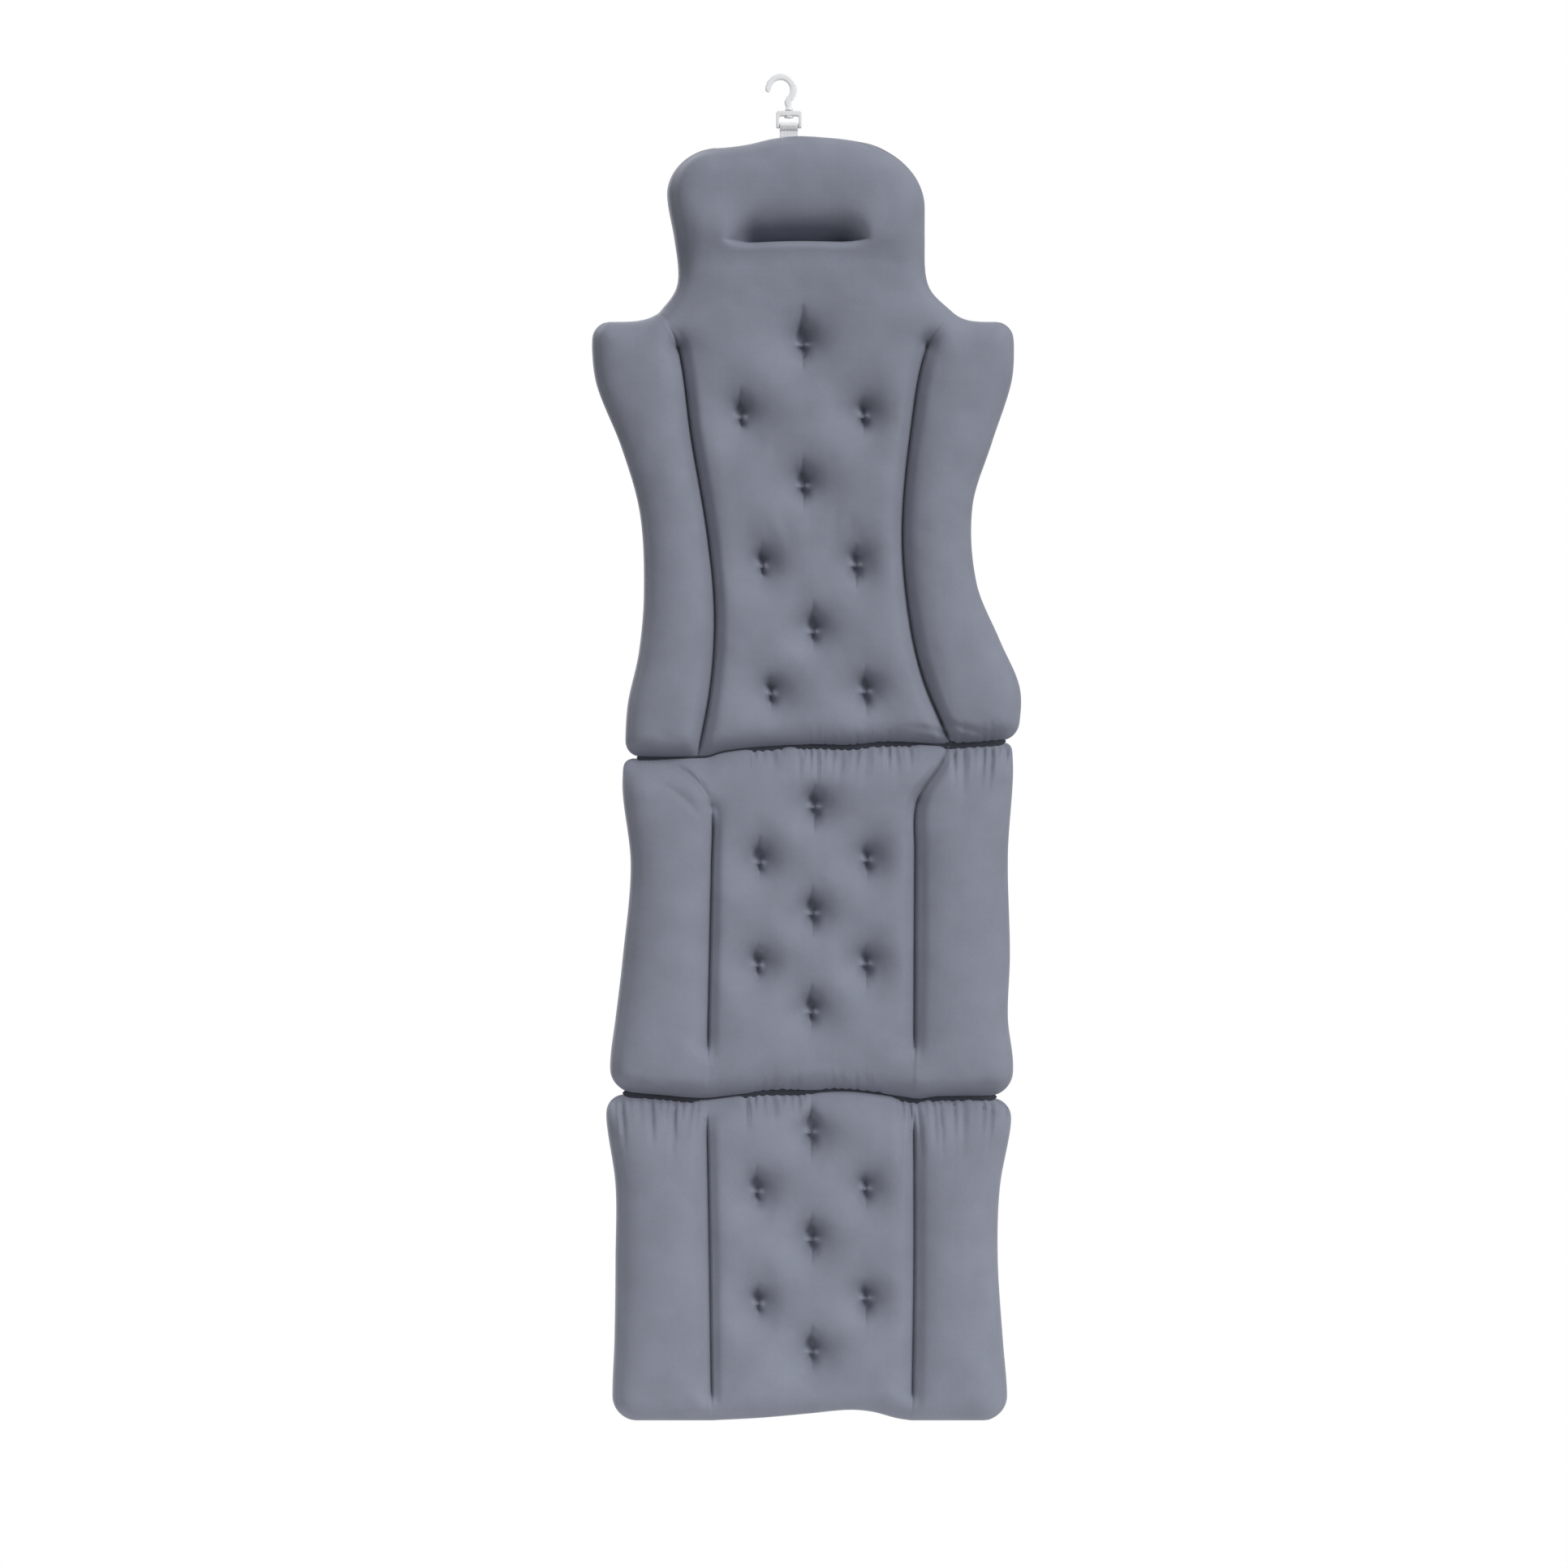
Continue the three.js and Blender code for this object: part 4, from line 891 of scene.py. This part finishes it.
def closed(net, name, front):
    """Front and rear of a net as one closed cover with a sharp rim and sharp sewn lines."""
    count = len(net["x"])
    inner = np.flatnonzero(~net["rim"])
    behind = np.arange(count)
    behind[inner] = count + np.arange(len(inner))
    rear = net_points(net, net["rear"], 1)[inner]
    quads = np.vstack([net["quads"], behind[net["quads"]][:, ::-1]])
    obj = new_object(name, np.vstack([front, rear]), quads)
    mesh = obj.data
    mesh.polygons.foreach_set("material_index", np.repeat([0, 1], len(net["quads"])).astype(np.int32))
    edges = read(mesh.edges, "vertices", np.int32, 2)
    rim, line = (np.pad(net[mark], (0, len(inner)))[edges] for mark in ("rim", "line"))
    sewn = (line[:, 0] == line[:, 1]) & (line[:, 0] > 0)
    sharp = np.where(sewn, LINE_SHARP, np.where(rim.all(1), RIM_SHARP, 0.0))
    mesh.attributes.new("crease_edge", "FLOAT", "EDGE").data.foreach_set("value", sharp.astype(np.float32))
    return obj


def refined(obj):
    """The object with one subdivision applied."""
    obj.modifiers.new("fine", "SUBSURF").levels = 1
    baked(obj).data.shade_smooth()
    return obj


# Creases
def tuft_crease(x, z, place):
    """A pit above and below a bar tack, and an upright slit through both that the tack bridges."""
    dx, dz = x - place[0], z - place[1]
    along = np.clip(1 - (dz / np.where(dz > 0, place[2], place[3])) ** 2, 0, 1) ** SLIT_FADE
    waist = 1 - WAIST_SHARE * np.exp(-(dz / WAIST_HEIGHT) ** 2)
    slit = SLIT_DEPTH * np.exp(-np.abs(dx) / SLIT_SHARP) * along
    wide = (dx / PIT_WIDTH) ** 2
    longs = place[2] / CREASE_UP, place[3] / CREASE_DOWN
    pits = 0
    for long, rise, share, narrow in zip(longs, (PIT_RISE, -PIT_RISE), PIT_SHARES, PIT_NARROWS):
        pits = pits + share * long * np.exp(-narrow * wide - ((dz - rise) / (PIT_WIDTH * long)) ** 2)
    hollow = HOLLOW_DEPTH * np.exp(-(dx * dx + dz * dz) / HOLLOW_WIDTH ** 2)
    bridge = BRIDGE_RISE * np.exp(-(dx / BRIDGE_WIDTH) ** 2 - (dz / WAIST_HEIGHT) ** 2)
    return (slit + PIT_DEPTH * pits) * waist + hollow - bridge


def varied(spread, number):
    mean, swing, turn = spread
    return mean + swing * np.sin(turn * number)


def gathers(x, away, stretches):
    """Pleats with sharp valleys that run out from a fold."""
    turn = x / PLEAT_PITCH
    for share, size, start in PLEAT_WANDER:
        turn = turn + share * np.sin(x / size + start)
    turn = turn + PLEAT_LEAN * away * np.sin(x / PLEAT_LEAN_SIZE)
    number = np.round(turn)
    valley = varied(PLEAT_DEPTHS, number) * np.abs(2 * (turn - np.floor(turn)) - 1) ** 2
    valley = PLEAT_HOLLOW + (1 - PLEAT_HOLLOW) * valley
    depth = np.zeros(len(x))
    for begin, end, deep, length in stretches:
        fall = np.exp(-(away / (length * varied(PLEAT_LENGTHS, number))) ** 2)
        depth += deep * stretch(x, begin, end, STRETCH_FADE) * valley * fall
    return depth


def wrinkle(x, z, points, deep, width):
    """A valley along a curve that fades out at both ends."""
    steps = np.linspace(0, 1, WRINKLE_STEPS)
    near = np.full(len(x), np.inf)
    where = np.zeros(len(x))
    for step, (px, pz) in zip(steps, bezier(points, WRINKLE_STEPS)):
        distance = np.hypot(x - px, z - pz)
        where = np.where(distance < near, step, where)
        near = np.minimum(near, distance)
    fade = np.sin(np.pi * np.clip(where, *WRINKLE_ENDS)) ** WRINKLE_FADE
    return deep * np.exp(-(near / width) ** WRINKLE_FALL) * fade


def unevenness(x, z):
    """Slow waves of the filling under the cloth."""
    total = np.zeros(len(x))
    for height, size in UNEVEN:
        places = np.stack([x / size, z / size, (x - z) / (UNEVEN_SLANT * size)], 1)
        total += height * np.array([noise.noise(Vector(place)) for place in places])
    return total


def held_back(level):
    """Levels behind the seam plane, slowed down so that the front cloth stays short of the rear one."""
    room = DEEPEST - SLOWED_FROM
    return np.where(level > SLOWED_FROM, SLOWED_FROM + room * np.tanh((level - SLOWED_FROM) / room), level)


def pressed(obj, panel):
    """The cover with its slits, gathers and wrinkles pressed into its front."""
    points = mesh_points(obj.data)
    front = np.flatnonzero(front_points(obj.data))
    x, z = points[front, 0] / MM - PAD_OFFSET, points[front, 2] / MM
    level = points[front, 1] / MM
    depth = np.zeros(len(front))
    for place in tuft_places(panel):
        depth += tuft_crease(x, z, place)
    room = np.maximum(0, -level - PLEAT_ROOM)
    for line, stretches in panel["gathers"]:
        depth += np.minimum(gathers(x, np.abs(z - line(x)), stretches), room)
    for wrinkled in panel["wrinkles"]:
        depth += wrinkle(x, z, *wrinkled)
    for pit_x, pit_z, deep, width in panel["pits"]:
        depth += deep * np.exp(-np.hypot(x - pit_x, z - pit_z) / width)
    depth += unevenness(x, z) * np.clip(-level / UNEVEN_FROM, 0, 1)
    points[front, 1] = np.maximum(level, held_back(level + depth)) * MM
    obj.data.vertices.foreach_set("co", points.ravel())
    obj.data.update()
    return obj


# Materials
def new_material(name):
    material = bpy.data.materials.new(name)
    material.use_nodes = True
    return material, material.node_tree, material.node_tree.nodes["Principled BSDF"]


def linear(red, green, blue):
    """Colour written in the photograph's 0 to 255 values, made linear by the sRGB rule."""
    def channel(v):
        v = v / 255
        return v / 12.92 if v <= 0.04045 else ((v + 0.055) / 1.055) ** 2.4
    return (channel(red), channel(green), channel(blue), 1.0)


def wire(tree, node, inputs):
    """Gives a node its inputs, each a value or another node's output to link."""
    for name, value in inputs.items():
        if isinstance(value, bpy.types.NodeSocket):
            tree.links.new(value, node.inputs[name])
        else:
            node.inputs[name].default_value = value
    return node


def add(tree, kind, inputs, **settings):
    """A new node; its settings come first, because they decide which inputs it has."""
    node = tree.nodes.new("ShaderNode" + kind)
    for name, value in settings.items():
        setattr(node, name, value)
    return wire(tree, node, inputs)


def object_place(tree):
    return add(tree, "TexCoord", {}).outputs["Object"]


def weave(tree, place, pitch):
    """Height of a plain weave: threads across and threads down."""
    scale = 2 * math.pi / (WAVE_TURN * pitch)
    inputs = {"Vector": place, "Scale": scale, "Distortion": 0.6, "Detail Scale": 2.0}
    across, down = (add(tree, "TexWave", inputs, bands_direction=way).outputs["Color"] for way in ("X", "Z"))
    return add(tree, "Math", {0: across, 1: down}, operation="MULTIPLY").outputs["Value"]


def fabric(name, colour, shade, pitch, depth):
    """Smooth microfibre: a fine weave, faint clouding of the pile and a soft sheen."""
    material, tree, shader = new_material(name)
    place = object_place(tree)
    cloud = add(tree, "TexNoise", {"Vector": place, "Scale": 28.0, "Detail": 4.0, "Roughness": 0.55})
    fuzz = add(tree, "TexNoise", {"Vector": place, "Scale": 900.0, "Detail": 3.0, "Roughness": 0.6})
    ramp = add(tree, "ValToRGB", {"Fac": cloud.outputs["Fac"]})
    for stop, position, tone in zip(ramp.color_ramp.elements, (0.3, 0.7), (shade, colour)):
        stop.position = position
        stop.color = tone
    tones = {"Factor": 0.25, "A": ramp.outputs["Color"], "B": fuzz.outputs["Color"]}
    speck = add(tree, "Mix", tones, data_type="RGBA", blend_type="SOFT_LIGHT")
    bump = add(tree, "Bump", {"Strength": 0.5, "Distance": depth, "Height": weave(tree, place, pitch)})
    pile = {"Height": fuzz.outputs["Fac"], "Normal": bump.outputs["Normal"]}
    soft = add(tree, "Bump", {"Strength": 0.4, "Distance": depth, **pile})
    wire(tree, shader, {
        "Base Color": speck.outputs["Result"], "Normal": soft.outputs["Normal"], "Roughness": 0.82,
        "Specular IOR Level": 0.25, "Sheen Weight": 0.18, "Sheen Roughness": 0.45,
    })
    return material


def plastic(name, colour, roughness, clear):
    material, tree, shader = new_material(name)
    wire(tree, shader, {
        "Base Color": colour, "Roughness": roughness, "IOR": 1.46, "Transmission Weight": clear,
    })
    return material


def woven(name, colour, pitch, depth):
    material, tree, shader = new_material(name)
    height = weave(tree, object_place(tree), pitch)
    bump = add(tree, "Bump", {"Strength": 0.9, "Distance": depth, "Height": height})
    wire(tree, shader, {"Normal": bump.outputs["Normal"], "Base Color": colour, "Roughness": 0.75})
    return material


SLATE = fabric("slate microfibre", linear(130, 134, 148), linear(123, 127, 140), 0.0009, 0.0002)
SLATE_REAR = fabric("slate rear cloth", linear(120, 124, 135), linear(113, 117, 128), 0.0013, 0.0003)
THREAD = fabric("slate thread", linear(126, 130, 143), linear(118, 122, 134), 0.0005, 0.0001)
# The fold strip's dark colour is painted shade: it stands for the deep shadow in the narrow gap where two
# panels are sewn together
STRIP = fabric("fold gap painted shade", linear(58, 61, 70), linear(50, 53, 62), 0.0011, 0.0003)
TAPE = woven("webbing", linear(236, 237, 238), 0.0011, 0.0004)
CLEAR = plastic("clear plastic", linear(238, 240, 242), 0.25, 0.12)
PALE = plastic("pale plastic", linear(226, 227, 228), 0.35, 0.0)
VINYL = plastic("clear vinyl", linear(236, 240, 244), 0.14, 0.85)


def dressed(obj, material, slot, *nodes):
    obj.data.materials.append(material)
    if nodes:
        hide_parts(*nodes)
    return obj


# Threads
def tube(path, radius, sides):
    """Points and faces of a closed round tube along a path, in metres."""
    path = np.asarray(path, float)
    along = np.gradient(path, axis=0)
    along /= np.maximum(np.linalg.norm(along, axis=1, keepdims=True), TINY)
    aside = np.cross(along, OFF_AXIS)
    aside /= np.maximum(np.linalg.norm(aside, axis=1, keepdims=True), TINY)
    over = np.cross(along, aside)
    turn = circle(sides)
    ring = np.cos(turn)[None, :, None] * aside[:, None] + np.sin(turn)[None, :, None] * over[:, None]
    return swept(path[:, None] + radius * ring)


def stitches(path):
    """Short threads along a path in metres, with a gap after each."""
    steps = np.concatenate([[0], np.cumsum(np.linalg.norm(np.diff(path, axis=0), axis=1))])
    share = np.linspace(0, 1, STITCH_POINTS)
    parts = []
    for start in np.arange(0, steps[-1] - STITCH_LENGTH * MM, STITCH_PITCH * MM):
        at = start + share * STITCH_LENGTH * MM
        points = np.stack([np.interp(at, steps, path[:, k]) for k in range(3)], 1)
        points[:, 1] -= np.sin(np.pi * share) * STITCH_RADIUS * MM
        parts.append(tube(points, STITCH_RADIUS * MM, THREAD_SIDES))
    return parts


def bar_tack(front, x, z):
    """Threads side by side across a tuft, lying on the cloth."""
    share = np.linspace(-1, 1, TACK_POINTS)
    parts = []
    for level in np.linspace(-TACK_HEIGHT / 2, TACK_HEIGHT / 2, TACK_THREADS):
        path = np.stack([x + share * TACK_WIDTH / 2, 0 * share, np.full(TACK_POINTS, z + level)], 1) * MM
        for point in path:
            beside = np.hypot(front[:, 0] - point[0], front[:, 2] - point[2])
            point[1] = front[np.argmin(beside), 1]
        lying = np.pad(path[:, 1], TACK_EASED // 2, "edge")
        path[:, 1] = np.convolve(lying, np.full(TACK_EASED, 1 / TACK_EASED), "valid")
        path[:, 1] -= (1.0 - TACK_ENDS * share ** 4) * TACK_RADIUS * 2 * MM
        parts.append(tube(path, TACK_RADIUS * MM, THREAD_SIDES))
    return parts


def sewn_threads(name, cover, net, panel):
    """The stitches of a cover's channels and its bar tacks, as one piece."""
    points = mesh_points(cover.data)
    parts = []
    for mark in (LEFT_LINE, RIGHT_LINE):
        parts += stitches(points[np.flatnonzero(net["line"] == mark)])
    front = points[front_points(cover.data)]
    for x, z, _, _ in tuft_places(panel):
        parts += bar_tack(front, x + PAD_OFFSET, z)
    return dressed(joined(name, parts), THREAD, "slate_fabric")


# Covers
def make_panel(name, panel, *more_nodes):
    """A panel's cover and its threads; the net's points are the first ones of the cover."""
    net = finished_net(panel, FINE)
    cover = closed(net, name + "_cover", blown(panel, net, name + "_cover"))
    cover = pressed(refined(cover), panel)
    threads = sewn_threads(name + "_threads", cover, net, panel)
    cover.data.materials.append(SLATE)
    cover.data.materials.append(SLATE_REAR)
    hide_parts(*(f"{name}_{part}" for part in PANEL_PARTS), *more_nodes)
    return cover, threads


def bent(obj, upper, lower, level, slope):
    """Bakes the piece's placing into its mesh."""
    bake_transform(obj)


def make_strip(name, line, reaches, bend):
    left, right = PAD_OFFSET - reaches[0] + STRIP_EDGE, PAD_OFFSET + reaches[1] - STRIP_EDGE
    x = np.linspace(left, right, STRIP_POINTS)
    half = STRIP_HALF_HEIGHT * np.maximum(STRIP_TIP, round_rise(np.minimum(x - left, right - x), STRIP_TAPER))
    across = np.linspace(-1, 1, STRIP_ROWS)
    z = line(x - PAD_OFFSET)[:, None] + half[:, None] * np.concatenate([across, across[::-1]])
    y = np.repeat([-STRIP_THICK / 2, STRIP_THICK / 2], STRIP_ROWS)
    rings = np.stack(np.broadcast_arrays(x[:, None], y, z), -1) * MM
    obj = weld(joined(name, [swept(rings)]))
    # The strip is dressed in painted shade, darker than the slate cloth, for the shadow in the gap between
    # the panels
    bent(dressed(obj, STRIP, "rear_fabric", name + "_strip"), *bend)


for piece in make_panel("back", TORSO, "head_fill"):
    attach(piece, "back_panel")
for piece in make_panel("seat", SEAT):
    bent(piece, *UPPER_BEND)
for piece in make_panel("leg", LEGS):
    bent(piece, *LOWER_BEND)
make_strip("upper_fold", upper_line, TORSO_EDGE[-1, 1:], UPPER_BEND)
make_strip("lower_fold", lower_line, (SEAT_EDGE[-1, 1], LEG_EDGE[0, 2]), LOWER_BEND)


# Hanger and cups
def make_piece(name, parts, material, slot, body, *nodes):
    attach(dressed(weld(joined(name, parts)), material, slot, *nodes), body)


def turned(profile, sides):
    """Points and faces of a profile of radius and height turned about Y, from axis to axis."""
    profile = np.array(profile, float)
    turn = circle(sides)
    radius, height = profile[:, :1], np.repeat(profile[:, 1:], sides, 1)
    points, faces = swept(np.stack([radius * np.cos(turn), height, radius * np.sin(turn)], -1))
    return points, faces[:-2]


def hook_path():
    angle = np.radians(np.linspace(HOOK_START, HOOK_END, HOOK_BOW_POINTS))
    bow = np.stack([HOOK_RADIUS * np.cos(angle), HOOK_RADIUS * np.sin(angle) - HOOK_INNER_RADIUS], 1)
    foot = np.array([STEM_OFFSET, BUCKLE_TOP + HOOK_FOOT_RISE])
    pull = np.linalg.norm(foot - bow[-1]) / 2
    heading = math.radians(HOOK_END - 90)
    lead = bow[-1] + pull * np.array([math.cos(heading), math.sin(heading)])
    neck = bezier([bow[-1], lead, foot + [0, pull], foot], HOOK_NECK_POINTS)
    return np.vstack([bow, neck[1:]])


def band(path, widths, thickness, ring, square):
    """A rounded flat band swept along a path in the XZ plane."""
    along = np.gradient(path, axis=0)
    along /= np.linalg.norm(along, axis=1, keepdims=True)
    aside = np.stack([-along[:, 1], along[:, 0]], 1)
    turn = circle(ring)
    across, through = (np.sign(wave) * np.abs(wave) ** square for wave in (np.cos(turn), np.sin(turn)))
    flat = path[:, None] + aside[:, None] * across[None, :, None] * widths[:, None, None] / 2
    depth = np.broadcast_to(through * thickness / 2, flat.shape[:2])
    return swept(np.stack([flat[..., 0], depth, flat[..., 1]], -1) * MM)


def rod(profile, sides):
    """A profile of radius and level turned about the stem's upright line."""
    points, faces = turned(profile, sides)
    return np.stack([points[:, 0] + STEM_OFFSET, -points[:, 2], points[:, 1]], 1) * MM, faces


def make_hook():
    path = hook_path()
    share = np.linspace(0, 1, len(path))
    widths = mix(HOOK_TIP_BAND, HOOK_BAND, np.minimum(1, 2 * share))
    widths = widths * mix(1.0, HOOK_FOOT_SHARE, smooth(share, HOOK_FOOT_FROM, 1.0))
    tip = np.clip(share / HOOK_TIP, HOOK_TIP_LEAST, 1)
    widths = widths * np.sqrt(tip * (2 - tip))
    stem = [(radius, BUCKLE_TOP + STEM_PLAY + up) for radius, up in UPPER_COLLAR]
    stem += [(radius, WINDOW_TOP - STEM_PLAY + up) for radius, up in LOWER_COLLAR]
    bow = band(path, widths, HOOK_THICKNESS, HOOK_RING, HOOK_SQUARE)
    make_piece("hook", [bow, rod(stem, STEM_SIDES)], CLEAR, "clear_plastic", "hook", "hanging_hook")


def rounded(corners):
    """Points round a polygon whose corners are cut by arcs."""
    points = []
    for k, (x, z, radius) in enumerate(corners):
        here = np.array([x, z])
        ends = []
        for beside in (corners[k - 1], corners[(k + 1) % len(corners)]):
            way = np.array(beside[:2]) - here
            ends.append(here + way / np.linalg.norm(way) * radius)
        pulled = [mix(end, here, ARC_PULL) for end in ends]
        points += list(bezier([ends[0], *pulled, ends[1]], ARC_STEPS))
    return np.array(points)


def frame_outline():
    """Outline of the buckle in the XZ plane: a square arch, open below."""
    left, right = STEM_OFFSET - BUCKLE_HALF, STEM_OFFSET + BUCKLE_HALF
    inner_left, inner_right = STEM_OFFSET - WINDOW_HALF, STEM_OFFSET + WINDOW_HALF
    return rounded([
        (left, BUCKLE_BOTTOM, FOOT_CORNER), (inner_left, BUCKLE_BOTTOM, FOOT_INSIDE),
        (inner_left, WINDOW_TOP, WINDOW_CORNER), (inner_right, WINDOW_TOP, WINDOW_CORNER),
        (inner_right, BUCKLE_BOTTOM, FOOT_INSIDE), (right, BUCKLE_BOTTOM, FOOT_CORNER),
        (right, BUCKLE_TOP, TOP_CORNER), (left, BUCKLE_TOP, TOP_CORNER),
    ])


def prism(outline, depth):
    """Points and faces of an outline in the XZ plane carried to both sides of it."""
    sides = np.array([[-depth / 2], [depth / 2]])
    return swept(np.stack(np.broadcast_arrays(outline[:, 0], sides, outline[:, 1]), -1) * MM)


def make_buckle():
    obj = weld(joined("buckle", [prism(frame_outline(), BUCKLE_DEPTH)]))
    high, low = BUCKLE_TOP + BORE_SPARE, WINDOW_TOP - BORE_SPARE
    drill = [(0, high), (BORE_RADIUS, high), (BORE_RADIUS, low), (0, low)]
    bore = weld(joined("bore", [rod(drill, BORE_SIDES)]))
    cut = obj.modifiers.new("bore", "BOOLEAN")
    cut.object = bore
    cut.solver = "EXACT"
    edge = obj.modifiers.new("edge", "BEVEL")
    edge.width = BEVEL_WIDTH * MM
    edge.segments = BEVEL_STEPS
    edge.limit_method = "ANGLE"
    edge.angle_limit = math.radians(BEVEL_ANGLE)
    baked(obj)
    bpy.data.objects.remove(bore)
    path = [((STEM_OFFSET + aside) * MM, 0, BAR_LEVEL * MM) for aside in (-BAR_HALF, 0, BAR_HALF)]
    bar = joined("buckle_bar", [tube(path, BAR_RADIUS * MM, BAR_SIDES)])
    for piece, nodes in ((obj, ["hook_buckle"]), (bar, [])):
        piece.data.shade_smooth()
        piece.data.set_sharp_from_angle(angle=math.radians(SHARP_ANGLE))
        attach(dressed(piece, PALE, "pale_plastic", *nodes), "buckle")


def tape_path():
    """The tape from behind the head seam, up round the bar and down in front, in the YZ plane."""
    turn = np.radians(np.linspace(*TAPE_TURN, TAPE_LOOP_POINTS))
    loop = np.stack([TAPE_LOOP * np.cos(turn), BAR_LEVEL + TAPE_LOOP * np.sin(turn)], 1)
    behind = TAPE_THICK / 2 + TAPE_APART
    low, down = np.array([[behind, BAR_LEVEL - TAPE_NECK], [behind, TAPE_END]])
    rise = mix(down, low, np.linspace(0, 1, TAPE_RISE_POINTS)[:, None])
    rear = bezier([low, low + TAPE_LEAVE, loop[0] + TAPE_ARRIVE, loop[0]], TAPE_REAR_POINTS)
    half = np.vstack([rise[:-1], rear[:-1]])
    return np.vstack([half, loop, half[::-1] * [-1, 1]])


def make_tape():
    path = tape_path()
    points, faces = band(path, np.full(len(path), TAPE_THICK), TAPE_WIDTH, TAPE_RING, TAPE_SQUARE)
    points = np.stack([points[:, 1] + STEM_OFFSET * MM, points[:, 0], points[:, 2]], 1)
    make_piece("tape", [(points, faces)], TAPE, "webbing", "back_panel", "webbing_loop")


def make_cups():
    points, faces = turned(CUP_PROFILE, CUP_SIDES)
    places = [(body, x, z) for body, spots in CUP_PLACES.items() for x, z in spots]
    for number, (body, x, z) in enumerate(places, 1):
        part = (points + [x, CUP_SEAT, z]) * MM, faces
        name = f"cup_{number:02d}"
        make_piece(name, [part], VINYL, "clear_vinyl", body, "suction_" + name)


make_hook()
make_buckle()
make_tape()
make_cups()


# Stage, lamps and camera
def white_where_seen(tree):
    """1 for rays that show a background, 0 for rays that light the object."""
    path = add(tree, "LightPath", {})
    total = path.outputs["Is Camera Ray"]
    for name in ("Is Glossy Ray", "Is Transmission Ray"):
        total = add(tree, "Math", {0: total, 1: path.outputs[name]}, operation="MAXIMUM").outputs["Value"]
    return total


def show_white(tree, share, lit, white, output):
    """Shows white instead of the lit shader, by a share."""
    choose = add(tree, "MixShader", {"Fac": share, 1: lit, 2: white.outputs[0]})
    wire(tree, tree.nodes[output], {"Surface": choose.outputs["Shader"]})


def floor_material():
    """Pale floor near the object, turning to the white background farther out."""
    material, tree, shader = new_material("floor")
    wire(tree, shader, {"Base Color": linear(232, 232, 232), "Roughness": 0.9})
    far = add(tree, "VectorMath", {0: object_place(tree)}, operation="LENGTH").outputs["Value"]
    limits = {"Value": far, "From Min": FLOOR_FADE[0], "From Max": FLOOR_FADE[1]}
    fade = add(tree, "MapRange", limits, interpolation_type="SMOOTHSTEP").outputs["Result"]
    seen = add(tree, "Math", {0: fade, 1: white_where_seen(tree)}, operation="MULTIPLY").outputs["Value"]
    glow = add(tree, "Emission", {"Color": WHITE, "Strength": 1.0})
    show_white(tree, seen, shader.outputs["BSDF"], glow, "Material Output")
    return material


def make_floor():
    turn = circle(FLOOR_SIDES)
    points = np.stack([np.cos(turn), np.sin(turn), 0 * turn], 1) * FLOOR_RADIUS
    obj = new_object("floor", points, [list(range(len(turn)))])
    obj.location = (PAD_OFFSET * MM, 0, FLOOR_LEVEL)
    obj.data.materials.append(floor_material())


def make_world():
    """Light that grows from below to above, seen as plain white."""
    world = bpy.data.worlds.new("studio")
    bpy.context.scene.world = world
    world.use_nodes = True
    tree = world.node_tree
    place = add(tree, "TexCoord", {}).outputs["Generated"]
    height = add(tree, "SeparateXYZ", {"Vector": place}).outputs["Z"]
    limits = {"Value": height, "From Min": -1, "To Min": AMBIENT_BELOW, "To Max": AMBIENT_ABOVE}
    strength = add(tree, "MapRange", limits).outputs["Result"]
    light = wire(tree, tree.nodes["Background"], {"Color": WHITE, "Strength": strength})
    white = add(tree, "Background", {"Color": WHITE, "Strength": 1.0})
    show_white(tree, white_where_seen(tree), light.outputs["Background"], white, "World Output")


def area_lamp(name, place, power):
    data = bpy.data.lights.new(name, "AREA")
    data.shape = "DISK"
    data.size = LAMP_SIZE
    data.energy = power
    lamp = bpy.data.objects.new(name, data)
    lamp.location = place
    lamp.rotation_euler = (Vector(LAMP_TARGET) - Vector(place)).to_track_quat("-Z", "Y").to_euler()
    bpy.context.collection.objects.link(lamp)


def make_camera():
    data = bpy.data.cameras.new("camera")
    data.lens = LENS
    data.sensor_width = SENSOR
    data.clip_end = VIEW_END
    camera = bpy.data.objects.new("camera", data)
    camera.location = (VIEW_CENTRE[0], -VIEW_WIDTH * LENS / SENSOR, VIEW_CENTRE[1])
    camera.rotation_euler = (math.pi / 2, 0, 0)
    bpy.context.collection.objects.link(camera)
    bpy.context.scene.camera = camera


bpy.context.scene.view_settings.view_transform = "Standard"
make_world()
for lamp_name, (lamp_place, lamp_power) in LAMPS.items():
    area_lamp(lamp_name, lamp_place, lamp_power)
make_camera()
make_floor()
